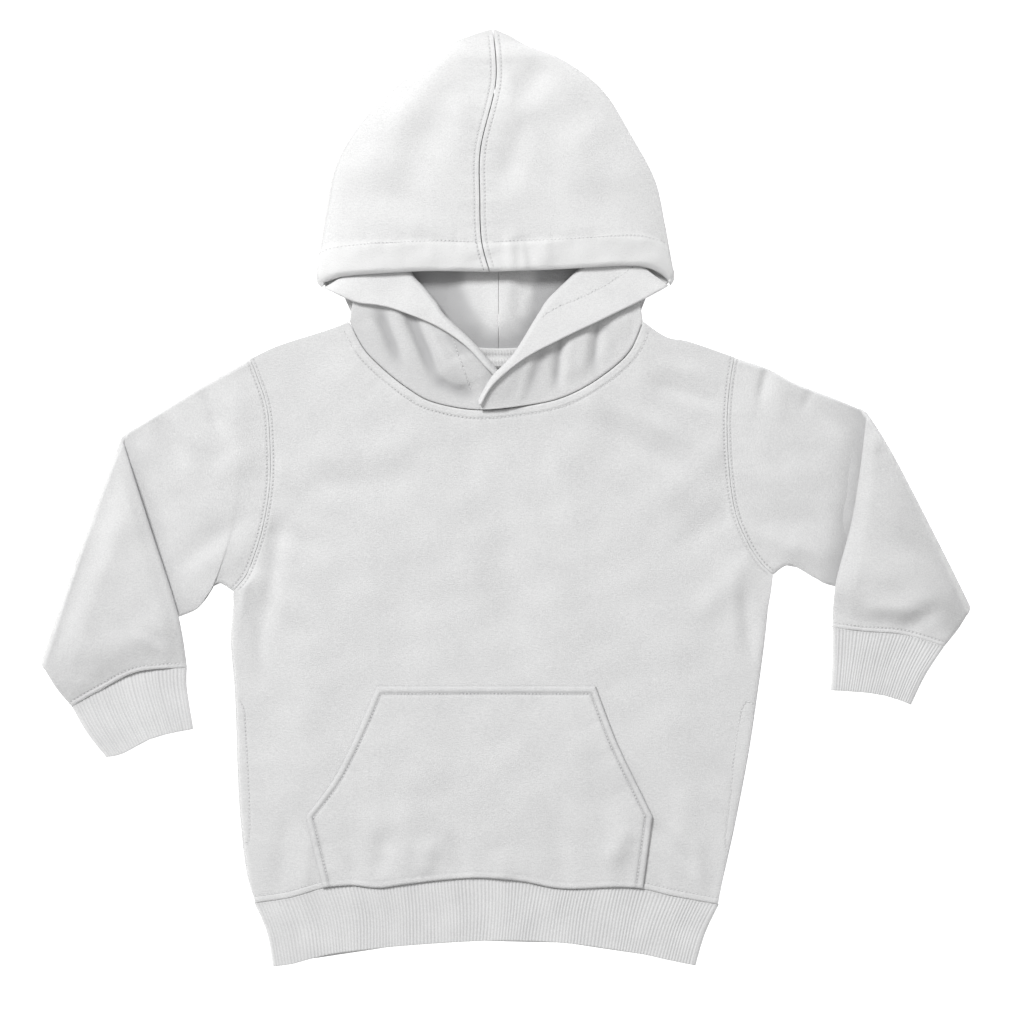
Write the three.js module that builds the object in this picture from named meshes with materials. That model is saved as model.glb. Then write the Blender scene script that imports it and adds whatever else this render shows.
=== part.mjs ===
// Toddler hoodie, laid flat on its back with both forearms folded over the upper sleeves.
// Millimetres. +X is the viewer's right, +Y runs up to the hood, +Z is up from the table.
// Every piece is a closed cloth wall. Names with left and right are the viewer's.
import * as THREE from "three";

// Cloth and seams
const CLOTH = 2.0;
const HOOD_CLOTH = 1.2;
const SEAM_GAP = 0.3;
const SEAM_INSET = 0.45;
const BACK_INSET = 0.9;
const BACK_PEEK = 1.6;

// A flattened tube: half its height, and half the air left inside it
const TUBE_HALF = 2.6;
const TUBE_AIR = TUBE_HALF - CLOTH;
const TUBE_TOP = 2 * TUBE_HALF;

// The forearm turns over the upper sleeve on this radius
const SLEEVE_FOLD_RADIUS = 2.95;
const FOREARM_DRAPE = 22;

// Ribs of the hem and the cuffs
const HEM_RIBS = 134;
const CUFF_RIBS = 34;
const RIB_DEPTH = 0.6;

// Body: the front panel rides this far above the back panel, more at the neck
const BODY_LOFT = 1.9;
const NECK_LOFT = 1.7;
const NECK_LOFT_REACH = 34;
const EDGE_LOFT = TUBE_TOP - CLOTH - CLOTH - SEAM_GAP;

// Kangaroo pocket
const POCKET_CLOTH = 1.6;
const POCKET_HEM_RISE = 0.5;
const POCKET_HEM_WIDTH = 7;
const POCKET_HEIGHT = 120;

// Hood
const HOOD_EDGE_RADIUS = 3.0;
const FLAP_FOLD_RADIUS = 1.6;
const FLAP_HALF = HOOD_CLOTH + SEAM_GAP / 2;

// Lining of the hood's back, from under the brim down to the back neck, whose middle lies lower than its ends
const BACK_LINING = { top: 165, halfWidth: 84, middle: -4, neck: 84, neckRise: 24 };

// The front lifts off the back within these shares of half its width and of half its length
const OPEN_ACROSS = 0.35;
const OPEN_DOWN = 0.3;

// How finely each piece is cut up
const FRONT_GRID = { columns: 32, rows: 18 };
const BACK_GRID = { columns: 14, rows: 18 };
const POCKET_GRID = { columns: 10, rows: 9 };
const BACK_LINING_GRID = { columns: 6, rows: 6 };
const CROWN_GRID = { rows: 13, top: 9, back: 7 };
const SLEEVE_ROWS = { upper: 8, bend: 6, fore: 8 };
const SLEEVE_RING = { outerTop: 10, outerBottom: 6, inner: 5 };
const RIB_ROWS = { count: 2, from: 0.021, to: 0.995 };
const RIB_FLAT_STEPS = 12;
const FLAP_STEPS = { betweenRows: 2, neck: 5, lip: 3, liningFrom: 3 };
const ROUND_EDGE = [60, 30, 0, -30, -60].map(THREE.MathUtils.degToRad);

const COLOUR = { fleece: 0xe3e3e2, rib: 0xdfdfde, lining: 0xe0e0df };

// Outlines in plan, as x, y. The two arms are folded a little differently.
const ARMHOLE_LEFT = [
  [-158, 86], [-154, 76], [-147.5, 56.5], [-145.5, 34.5], [-145.5, 9],
  [-149, -14.5], [-154, -32.5], [-160.5, -48.5], [-168.5, -58],
];
const ARMHOLE_RIGHT = [
  [142, 87], [139, 68.5], [137.5, 45], [139, 15], [142.5, -8.5], [149.5, -26.5], [157.5, -39.5], [166, -48],
];
const SIDE_LEFT = [[-168.5, -58], [-169.5, -88.5], [-167, -122], [-164.5, -187.5], [-160, -231], [-155.5, -251]];
const SIDE_RIGHT = [[166, -48], [161, -88.5], [156, -125.5], [151, -159], [143, -201], [138, -224], [132.5, -252]];
const SHOULDER_LEFT = [[-158, 86], [-139.5, 94.5], [-109.5, 104], [-96.5, 109]];
const SHOULDER_RIGHT = [[85.5, 109], [100, 99.5], [114.5, 96.5], [142, 87]];
const FRONT_NECK = [
  [-96.5, 109], [-87.5, 92], [-75, 79], [-59, 66.5], [-43.5, 58.5],
  [-15.5, 54], [18.5, 57.5], [39, 63], [59.5, 74.5], [77, 90], [85.5, 109],
];
const BACK_NECK = [[-96.5, 109], [-77.5, 97.5], [-40.5, 86], [-6, 81.5], [28, 86], [65, 97.5], [85.5, 109]];
const HEM_SEAM = [
  [-155.5, -251], [-134, -248], [-113, -242], [-95.5, -240.5], [-78, -242], [-59.5, -239.5], [-31.5, -236.5],
  [-10, -236], [11, -238], [36, -242.5], [69, -241.5], [85.5, -242.5], [105, -247], [132.5, -252],
];
const HEM_BOTTOM = [
  [-144, -290.5], [-132, -289], [-119, -285.5], [-102.5, -282], [-59.5, -277.5], [-6, -274.5], [36.5, -276],
  [79.5, -282], [101, -286.5], [118, -290],
];
const HEM_SIDE_LEFT = [[-155.5, -251], [-147.5, -270], [-144, -290.5]];
const HEM_SIDE_RIGHT = [[132.5, -252], [124, -270], [118, -290]];

const SLEEVES = {
  left: {
    armhole: ARMHOLE_LEFT,
    overarm: [[-158, 86], [-192, 66.5], [-221.5, 48], [-237.5, 38]],
    underarm: [
      [-168.5, -58], [-177.5, -53], [-185.5, -57.5], [-189, -67.5], [-202, -74], [-245, -88.5], [-287.5, -102],
    ],
    crease: [[-237.5, 38], [-263, -31.5], [-287.5, -102]],
    innerForearm: [[-237.5, 38], [-220, -16.5], [-202.5, -71], [-197, -105.5]],
    lowerForearm: [[-287.5, -102], [-278.5, -117], [-268.5, -129.5]],
    cuffSeam: [[-197, -105.5], [-227.5, -108], [-251, -119.5], [-268.5, -129.5]],
    cuffInner: [[-197, -105.5], [-197, -118], [-193, -143.5]],
    cuffOuter: [[-268.5, -129.5], [-259, -146], [-247, -161]],
    cuffBottom: [[-193, -143.5], [-217.5, -149], [-236, -158.5], [-247, -161]],
  },
  right: {
    armhole: ARMHOLE_RIGHT,
    overarm: [[142, 87], [163.5, 79.5], [180.5, 70.5], [204, 61.5], [224, 53]],
    underarm: [[166, -48], [176.5, -42], [192, -50], [204, -55], [245, -61], [288.5, -68]],
    crease: [[224, 53], [239.5, 28], [269, -29], [288.5, -68]],
    innerForearm: [[224, 53], [219.5, 17.5], [214, -16], [204.5, -52.5], [202.5, -80.5]],
    lowerForearm: [[288.5, -68], [281, -81], [272, -92.5]],
    cuffSeam: [[202.5, -80.5], [223, -83], [247, -85], [272, -92.5]],
    cuffInner: [[202.5, -80.5], [202.5, -100], [201.5, -119.5]],
    cuffOuter: [[272, -92.5], [260.5, -110], [251.5, -128.5]],
    cuffBottom: [[201.5, -119.5], [223, -121], [237.5, -123.5], [251.5, -128.5]],
  },
};

// Each half of the hood crown: its top seam, its outline, which is a fold, its brim, and its back layer.
const CROWNS = {
  left: {
    start: [[-7.8, 290.2], [-20, 286.5]],
    topSeam: [[-7.8, 290.2], [-6, 256.5], [-15.3, 215.5], [-15.8, 185], [-14.8, 158.5], [-9.8, 139]],
    outline: [
      [-20, 286.5], [-34.5, 280.5], [-59, 262], [-88, 234], [-105, 206], [-111, 178], [-115.5, 150.5], [-117, 132],
    ],
    brim: [[-9.8, 139], [-48.5, 139.5], [-80, 138], [-117, 132]],
    backStart: [[-20, 286.5], [-7.8, 289.4]],
    backSeam: [[-7.8, 289.4], [-5.3, 184.5], [-3, 138], [-6.3, 82.1]],
    backEnd: [[-117, 132], [-105.5, 125], [-95, 120.5], [-95, 110.5], [-77.5, 98.1], [-40.5, 86.6], [-6.3, 82.1]],
  },
  right: {
    start: [[-7.2, 290.2], [6, 284.5]],
    topSeam: [[-7.2, 290.2], [-5.4, 256.5], [-14.7, 215.5], [-15.2, 185], [-14.2, 158.5], [-9.2, 139]],
    outline: [
      [6, 284.5], [12.5, 280.5], [36, 271], [60, 252.5], [77.5, 225], [92.5, 197], [99, 169], [103.5, 141], [105, 133],
    ],
    brim: [[-9.2, 139], [31, 140.5], [78.5, 143], [94, 139.5], [105, 133]],
    backStart: [[6, 284.5], [-7.2, 289.4]],
    backSeam: [[-7.2, 289.4], [-4.7, 184.5], [-2.4, 138], [-5.7, 82.1]],
    backEnd: [[105, 133], [91, 125], [83.5, 120.5], [83.5, 111], [65, 98.1], [28, 86.6], [-5.7, 82.1]],
  },
};
// Rise of the crown's top above its outline, down its length, and how square its shoulders are
const CROWN_RISE = [
  { along: 0, rise: 0, square: 2.5 },
  { along: 0.15, rise: 5, square: 2.5 },
  { along: 0.4, rise: 10, square: 2.5 },
  { along: 0.7, rise: 11.5, square: 3.5 },
  { along: 1, rise: 11, square: 6 },
];

// The hood's lower fronts, as sections from the crossing to the corner of the brim.
// Each goes from the neck seam (neck) over a ridge (ridge) to the face edge (lip), which lies turned out.
const FLAPS = {
  left: [
    { neckX: -9, neckY: 54.9, ridgeX: 2, ridgeY: 71.5, lipX: -0.5, lipY: 67.9, neckZ: 6.1, ridgeZ: 9.4 },
    { neckX: -20, neckY: 55.1, ridgeX: -4.5, ridgeY: 79, lipX: -6.9, lipY: 75.3, neckZ: 6.1, ridgeZ: 10.4 },
    { neckX: -32, neckY: 56.4, ridgeX: -10, ridgeY: 85, lipX: -12.9, lipY: 81.4, neckZ: 6.1, ridgeZ: 12.4 },
    { neckX: -49.8, neckY: 61.9, ridgeX: -20.5, ridgeY: 97, lipX: -24.5, lipY: 93.6, neckZ: 6.3, ridgeZ: 13 },
    { neckX: -74.4, neckY: 79.5, ridgeX: -36.5, ridgeY: 112, lipX: -42, lipY: 105.5, neckZ: 6.3, ridgeZ: 13 },
    { neckX: -86.9, neckY: 92.6, ridgeX: -42, ridgeY: 120, lipX: -65, lipY: 115, neckZ: 6.6, ridgeZ: 12.4 },
    { neckX: -91.5, neckY: 102, ridgeX: -49.5, ridgeY: 129.5, lipX: -78, lipY: 118.5, neckZ: 6.6, ridgeZ: 11.6 },
    { neckX: -91.5, neckY: 110.5, ridgeX: -56, ridgeY: 136.5, lipX: -92, lipY: 120.5, neckZ: 6.6, ridgeZ: 11 },
    { neckX: -88, neckY: 124, ridgeX: -62, ridgeY: 148, lipX: -108, lipY: 126.5, neckZ: 6.6, ridgeZ: 10.8 },
  ],
  right: [
    { neckX: -12.5, neckY: 55.3, ridgeX: -14.4, ridgeY: 65, lipX: -13.5, lipY: 60.4, neckZ: 10.6, ridgeZ: 17.6 },
    { neckX: -2, neckY: 56, ridgeX: -8, ridgeY: 74.5, lipX: -6.5, lipY: 70, neckZ: 11, ridgeZ: 18 },
    { neckX: 18.7, neckY: 58.3, ridgeX: 5.5, ridgeY: 89, lipX: 12, lipY: 85.4, neckZ: 7.4, ridgeZ: 16.4 },
    { neckX: 38.2, neckY: 63.9, ridgeX: 18, ridgeY: 109, lipX: 36.5, lipY: 98.5, neckZ: 6.3, ridgeZ: 14 },
    { neckX: 58.5, neckY: 75.3, ridgeX: 26.5, ridgeY: 122.5, lipX: 56.5, lipY: 108, neckZ: 6.3, ridgeZ: 13 },
    { neckX: 76, neckY: 91.3, ridgeX: 38, ridgeY: 134, lipX: 75, lipY: 117, neckZ: 6.6, ridgeZ: 11.4 },
    { neckX: 80.5, neckY: 109, ridgeX: 47, ridgeY: 143, lipX: 87, lipY: 123, neckZ: 6.6, ridgeZ: 11 },
    { neckX: 79, neckY: 122, ridgeX: 54, ridgeY: 152, lipX: 97, lipY: 128.5, neckZ: 6.6, ridgeZ: 10.8 },
  ],
};

// The pocket's top, its slanted openings, and how far the hem seam holds it
const POCKET = {
  top: [[-79.5, -116.5], [56, -116.5]],
  left: [[-79.5, -116.5], [-91, -144], [-106, -174], [-123.5, -197.5]],
  right: [[56, -116.5], [69.5, -152], [84, -182], [91.5, -197.5]],
  bottomFrom: -114,
  bottomTo: 86,
};

// Soft folds, each a ridge or a trough from one point to another
const BODY_FOLDS = [
  { fromX: -143, fromY: 20, toX: -96, toY: -8, width: 9, height: 0.9 },
  { fromX: -146, fromY: -20, toX: -112, toY: -30, width: 7, height: -0.7 },
  { fromX: -158, fromY: -46, toX: -120, toY: -78, width: 8, height: 1.1 },
  { fromX: -154, fromY: -66, toX: -150, toY: -110, width: 5, height: -0.8 },
  { fromX: 136, fromY: 30, toX: 92, toY: -4, width: 10, height: 0.9 },
  { fromX: 140, fromY: -8, toX: 104, toY: -30, width: 8, height: -0.8 },
  { fromX: 152, fromY: -38, toX: 118, toY: -74, width: 8, height: 1.1 },
  { fromX: -66, fromY: 66, toX: -40, toY: 22, width: 11, height: 0.7 },
  { fromX: 60, fromY: 66, toX: 34, toY: 8, width: 12, height: 0.8 },
  { fromX: -10, fromY: 30, toX: -14, toY: -60, width: 16, height: 0.7 },
  { fromX: -96, fromY: -205, toX: -93, toY: -238, width: 7, height: -0.7 },
  { fromX: -60, fromY: -195, toX: -62, toY: -236, width: 9, height: 0.8 },
  { fromX: 32, fromY: -200, toX: 36, toY: -240, width: 7, height: -0.7 },
  { fromX: 70, fromY: -196, toX: 66, toY: -238, width: 8, height: 0.8 },
  { fromX: 112, fromY: -180, toX: 104, toY: -240, width: 10, height: 0.9 },
];
const SLEEVE_FOLDS = [
  { fromX: -190, fromY: 64, toX: -172, toY: 36, width: 4.5, height: -0.6 },
  { fromX: -152, fromY: 30, toX: -188, toY: 10, width: 8, height: 0.6 },
  { fromX: -156, fromY: -20, toX: -196, toY: -48, width: 6, height: 0.6 },
  { fromX: 164, fromY: 78, toX: 156, toY: 48, width: 4.5, height: -0.6 },
  { fromX: 144, fromY: 20, toX: 184, toY: 4, width: 8, height: 0.6 },
  { fromX: 152, fromY: -22, toX: 194, toY: -36, width: 6, height: 0.6 },
];
const HOOD_FOLDS = [
  { fromX: 8, fromY: 150, toX: 10, toY: 122, width: 7, height: 1.2 },
  { fromX: -52, fromY: 236, toX: -40, toY: 196, width: 16, height: 1.0 },
  { fromX: 52, fromY: 214, toX: 34, toY: 170, width: 16, height: 1.0 },
];
const FLAP_FOLDS = [
  { fromX: -64, fromY: 112, toX: -30, toY: 64, width: 6, height: 2.2 },
  { fromX: -84, fromY: 108, toX: -70, toY: 88, width: 6, height: 1.0 },
  { fromX: -52, fromY: 108, toX: -24, toY: 74, width: 6, height: -1.2 },
  { fromX: 46, fromY: 102, toX: 44, toY: 70, width: 5, height: 1.6 },
  { fromX: 24, fromY: 92, toX: 12, toY: 66, width: 6, height: -1.4 },
  { fromX: 70, fromY: 112, toX: 62, toY: 84, width: 6, height: 1.2 },
];

const mix = (a, b, t) => a + (b - a) * t;
const smoothStep = (t) => THREE.MathUtils.smoothstep(t, 0, 1);
const smooth = (points) => new THREE.SplineCurve(points.map(([x, y]) => new THREE.Vector2(x, y)));

// Smooth curves end to end, with a corner where each meets the next.
function cornered(...stretches) {
  const path = new THREE.CurvePath();
  stretches.forEach((points) => path.add(smooth(points)));
  return path;
}

// Height that the folds in a table add at a point in plan.
function foldHeight(folds, x, y) {
  let height = 0;
  for (const fold of folds) {
    const dx = fold.toX - fold.fromX;
    const dy = fold.toY - fold.fromY;
    const along = THREE.MathUtils.clamp(
      ((x - fold.fromX) * dx + (y - fold.fromY) * dy) / (dx * dx + dy * dy), -0.3, 1.3,
    );
    const across = Math.hypot(x - fold.fromX - along * dx, y - fold.fromY - along * dy);
    const taper = smoothStep((along + 0.3) / 0.5) * smoothStep((1.3 - along) / 0.7);
    height += fold.height * taper * Math.exp(-((across / fold.width) ** 2));
  }
  return height;
}

// A flat region between four outlines. start and end run with u, low and high run with v.
function patch(start, end, low, high) {
  const corners = [start.getPointAt(0), start.getPointAt(1), end.getPointAt(0), end.getPointAt(1)];
  return (u, v) => {
    const point = new THREE.Vector2();
    point.addScaledVector(start.getPointAt(u), 1 - v);
    point.addScaledVector(end.getPointAt(u), v);
    point.addScaledVector(low.getPointAt(v), 1 - u);
    point.addScaledVector(high.getPointAt(v), u);
    point.addScaledVector(corners[0], -(1 - u) * (1 - v));
    point.addScaledVector(corners[1], -u * (1 - v));
    point.addScaledVector(corners[2], -(1 - u) * v);
    point.addScaledVector(corners[3], -u * v);
    return point;
  };
}

// Value of a column at a place down a table, from a smooth curve through its rows.
function column(rows, name, place) {
  const scaled = THREE.MathUtils.clamp(place, 0, 1) * (rows.length - 1);
  const index = Math.min(Math.floor(scaled), rows.length - 2);
  const t = scaled - index;
  const at = (i) => rows[THREE.MathUtils.clamp(i, 0, rows.length - 1)][name];
  const before = (at(index + 1) - at(index - 1)) / 2;
  const after = (at(index + 2) - at(index)) / 2;
  const cube = 2 * (at(index) - at(index + 1)) + before + after;
  const square = 3 * (at(index + 1) - at(index)) - 2 * before - after;
  return ((cube * t + square) * t + before) * t + at(index);
}

// Value of a column of CROWN_RISE at a place along the crown.
function crownColumn(name, along) {
  const next = CROWN_RISE.findIndex((row) => row.along >= along && row.along > 0);
  const low = CROWN_RISE[next - 1];
  const high = CROWN_RISE[next];
  return mix(low[name], high[name], smoothStep((along - low.along) / (high.along - low.along)));
}

// Collects points and faces, and closes them into one solid mesh.
class Wall {
  constructor() {
    this.points = [];
    this.faces = [];
  }

  addRow(points) {
    return points.map((point) => this.points.push(point) - 1);
  }

  // Triangles between two rows of points. Rows that differ in number are joined by their shorter diagonals.
  strip(one, other) {
    const gap = (i, j) => this.points[one[i]].distanceTo(this.points[other[j]]);
    let i = 0;
    let j = 0;
    while (i < one.length - 1 || j < other.length - 1) {
      const oneEnded = i === one.length - 1;
      const otherEnded = j === other.length - 1;
      const canCompare = !oneEnded && !otherEnded;
      const oneIsNext = one.length === other.length ? i === j : canCompare && gap(i + 1, j) < gap(i, j + 1);
      if (otherEnded || (!oneEnded && oneIsNext)) {
        this.faces.push([one[i], one[i + 1], other[j]]);
        i += 1;
      } else {
        this.faces.push([one[i], other[j + 1], other[j]]);
        j += 1;
      }
    }
  }

  mesh(name, material) {
    let volume = 0;
    for (const face of this.faces) {
      const [a, b, c] = face.map((index) => this.points[index]);
      volume += a.dot(b.clone().cross(c));
    }
    if (volume < 0) this.faces.forEach((face) => face.reverse());
    const geometry = new THREE.BufferGeometry();
    geometry.setAttribute(
      "position", new THREE.Float32BufferAttribute(this.points.flatMap((point) => point.toArray()), 3),
    );
    geometry.setIndex(this.faces.flat());
    geometry.computeVertexNormals();
    const made = new THREE.Mesh(geometry, material);
    made.name = name;
    return made;
  }
}

// A wall between an upper and a lower grid of points, closed along its four edges.
function sheetWall(upper, lower) {
  const wall = new Wall();
  const top = upper.map((row) => wall.addRow(row));
  const bottom = lower.map((row) => wall.addRow(row));
  for (let i = 1; i < top.length; i += 1) wall.strip(top[i - 1], top[i]);
  for (let i = 1; i < bottom.length; i += 1) wall.strip(bottom[i], bottom[i - 1]);
  const edge = (grid, side) => grid.map((row) => row.at(side));
  wall.strip(bottom[0], top[0]);
  wall.strip(top.at(-1), bottom.at(-1));
  wall.strip(edge(top, 0), edge(bottom, 0));
  wall.strip(edge(bottom, -1), edge(top, -1));
  return wall;
}

// A wall round a tube, from rings of outer points and rings of inner points.
function tubeWall(outerRings, innerRings) {
  const wall = new Wall();
  const closed = (ring) => {
    const row = wall.addRow(ring);
    return [...row, row[0]];
  };
  const outer = outerRings.map(closed);
  const inner = innerRings.map(closed);
  for (let i = 1; i < outer.length; i += 1) wall.strip(outer[i - 1], outer[i]);
  for (let i = 1; i < inner.length; i += 1) wall.strip(inner[i], inner[i - 1]);
  wall.strip(inner[0], outer[0]);
  wall.strip(outer.at(-1), inner.at(-1));
  return wall;
}

const fractions = (count, from = 0, to = 1) => Array.from({ length: count + 1 }, (_, i) => mix(from, to, i / count));

// Where a flattened tube's ring has its points: distance in from either side, and height off its middle.
// half is the ring's half height and margin how far in from the outer side its own side lies.
function ringStations(width, half, margin, topCount, bottomCount) {
  const endAngles = margin > 0 ? [0] : ROUND_EDGE;
  const inset = margin + half;
  const stations = [];
  for (const t of fractions(topCount)) stations.push({ across: mix(inset, width - inset, t), height: half, top: true });
  for (const angle of endAngles) {
    stations.push({ across: width - inset + half * Math.cos(angle), height: half * Math.sin(angle) });
  }
  for (const t of fractions(bottomCount)) stations.push({ across: mix(width - inset, inset, t), height: -half });
  for (const angle of endAngles.toReversed()) {
    stations.push({ across: inset - half * Math.cos(angle), height: half * Math.sin(angle) });
  }
  return stations;
}

const rowWidth = (region, v) => region(0, v).distanceTo(region(1, v));
const material = (name, roughness) => new THREE.MeshStandardMaterial({ color: COLOUR[name], roughness, metalness: 0 });
const fleece = material("fleece", 0.95);
const rib = material("rib", 0.95);
const lining = material("lining", 0.95);

// Height of the front panel's underside. It lies close to the back panel at its edges.
const sideLeftCurve = cornered(ARMHOLE_LEFT, SIDE_LEFT);
const sideRightCurve = cornered(ARMHOLE_RIGHT, SIDE_RIGHT);
const frontTopCurve = cornered(SHOULDER_LEFT, FRONT_NECK, SHOULDER_RIGHT);
const backTopCurve = cornered(SHOULDER_LEFT, BACK_NECK, SHOULDER_RIGHT);
const hemSeamCurve = smooth(HEM_SEAM);
const frontRegion = patch(frontTopCurve, hemSeamCurve, sideLeftCurve, sideRightCurve);
const peeking = (armhole, side, outward) => {
  const ends = [0, side.length - 1];
  return cornered(armhole, side.map(([x, y], index) => [x + (ends.includes(index) ? 0 : outward), y]));
};
const backRegion = patch(
  backTopCurve, hemSeamCurve,
  peeking(ARMHOLE_LEFT, SIDE_LEFT, -BACK_PEEK), peeking(ARMHOLE_RIGHT, SIDE_RIGHT, BACK_PEEK),
);
const neckPoints = smooth(FRONT_NECK).getPoints(40);

function frontUnderside(point, u, v) {
  const fromSide = Math.min(u, 1 - u) * 2;
  const fromEnd = Math.min(v, 1 - v) * 2;
  const open = smoothStep(fromSide / OPEN_ACROSS) * smoothStep(fromEnd / OPEN_DOWN);
  const neckDistance = Math.min(...neckPoints.map((neck) => neck.distanceTo(point)));
  const atNeck = NECK_LOFT * smoothStep(1 - neckDistance / NECK_LOFT_REACH);
  const folds = foldHeight(BODY_FOLDS, point.x, point.y) * smoothStep(fromSide / 0.1);
  return CLOTH + SEAM_GAP + mix(EDGE_LOFT, BODY_LOFT, open) + Math.max(atNeck, 0) + folds;
}

// A grid over a region, kept clear of the seams round it, with the height that a function gives.
function gridOver(region, { columns, rows }, height, inset = SEAM_INSET) {
  const insetU = inset / rowWidth(region, 0.5);
  const insetV = inset / region(0.5, 0).distanceTo(region(0.5, 1));
  return fractions(rows, insetV, 1 - insetV).map((v) =>
    fractions(columns, insetU, 1 - insetU).map((u) => {
      const point = region(u, v);
      return new THREE.Vector3(point.x, point.y, height(point, u, v));
    }),
  );
}

function makeFrontPanel() {
  const upper = gridOver(frontRegion, FRONT_GRID, (point, u, v) => frontUnderside(point, u, v) + CLOTH);
  const lower = gridOver(frontRegion, FRONT_GRID, frontUnderside);
  return sheetWall(upper, lower).mesh("front_panel", fleece);
}

function makeBackPanel() {
  const upper = gridOver(backRegion, BACK_GRID, () => CLOTH, BACK_INSET);
  const lower = gridOver(backRegion, BACK_GRID, () => 0, BACK_INSET);
  return sheetWall(upper, lower).mesh("back_panel", fleece);
}

// The pocket lies on the front panel, a seam's gap above it, with a raised hem along its open sides.
function frontTopAt(point) {
  let u = 0.5;
  let v = 0.5;
  const step = 1e-3;
  for (let i = 0; i < 12; i += 1) {
    const here = frontRegion(u, v);
    const alongU = frontRegion(u + step, v).sub(here).divideScalar(step);
    const alongV = frontRegion(u, v + step).sub(here).divideScalar(step);
    const miss = point.clone().sub(here);
    const area = alongU.cross(alongV);
    u = THREE.MathUtils.clamp(u + miss.cross(alongV) / area, 0.001, 0.998);
    v = THREE.MathUtils.clamp(v + alongU.cross(miss) / area, 0.001, 0.998);
  }
  return frontUnderside(point, u, v) + CLOTH;
}

function makePocket() {
  const held = HEM_SEAM.filter(([x]) => x > POCKET.bottomFrom && x < POCKET.bottomTo);
  const bottom = held.map(([x, y]) => [x, y + SEAM_GAP]);
  const left = cornered(POCKET.left, [POCKET.left.at(-1), bottom[0]]);
  const right = cornered(POCKET.right, [POCKET.right.at(-1), bottom.at(-1)]);
  const region = patch(smooth(POCKET.top), smooth(bottom), left, right);
  const clearance = 2 * SEAM_GAP;
  const lower = gridOver(region, POCKET_GRID, (point) => frontTopAt(point) + clearance);
  const upper = gridOver(region, POCKET_GRID, (point, u, v) => {
    const width = rowWidth(region, v);
    const fromOpening = Math.min(u * width, (1 - u) * width, v * POCKET_HEIGHT);
    const hem = POCKET_HEM_RISE * smoothStep((POCKET_HEM_WIDTH * 1.5 - fromOpening) / POCKET_HEM_WIDTH);
    return frontTopAt(point) + clearance + POCKET_CLOTH + hem;
  });
  return sheetWall(upper, lower).mesh("kangaroo_pocket", fleece);
}

// A ribbed, flattened tube that rests on the table: the hem band and the cuffs.
function ribbedTube(name, region, ribs) {
  const bands = fractions(RIB_ROWS.count, RIB_ROWS.from, RIB_ROWS.to);
  const outer = bands.map((v) => {
    const width = rowWidth(region, v);
    return ringStations(width, TUBE_HALF, 0, ribs * 2, RIB_FLAT_STEPS).map(({ across, height, top }, index) => {
      const point = region(across / width, v);
      const groove = top && index % 2 === 1 ? RIB_DEPTH : 0;
      return new THREE.Vector3(point.x, point.y, TUBE_HALF + height - groove);
    });
  });
  const inner = bands.map((v) => {
    const width = rowWidth(region, v);
    return ringStations(width, TUBE_AIR, CLOTH, RIB_FLAT_STEPS, RIB_FLAT_STEPS).map(({ across, height }) => {
      const point = region(across / width, v);
      return new THREE.Vector3(point.x, point.y, TUBE_HALF + height);
    });
  });
  return tubeWall(outer, inner).mesh(name, rib);
}

function makeHem() {
  const region = patch(hemSeamCurve, smooth(HEM_BOTTOM), smooth(HEM_SIDE_LEFT), smooth(HEM_SIDE_RIGHT));
  return ribbedTube("hem_rib", region, HEM_RIBS);
}

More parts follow.
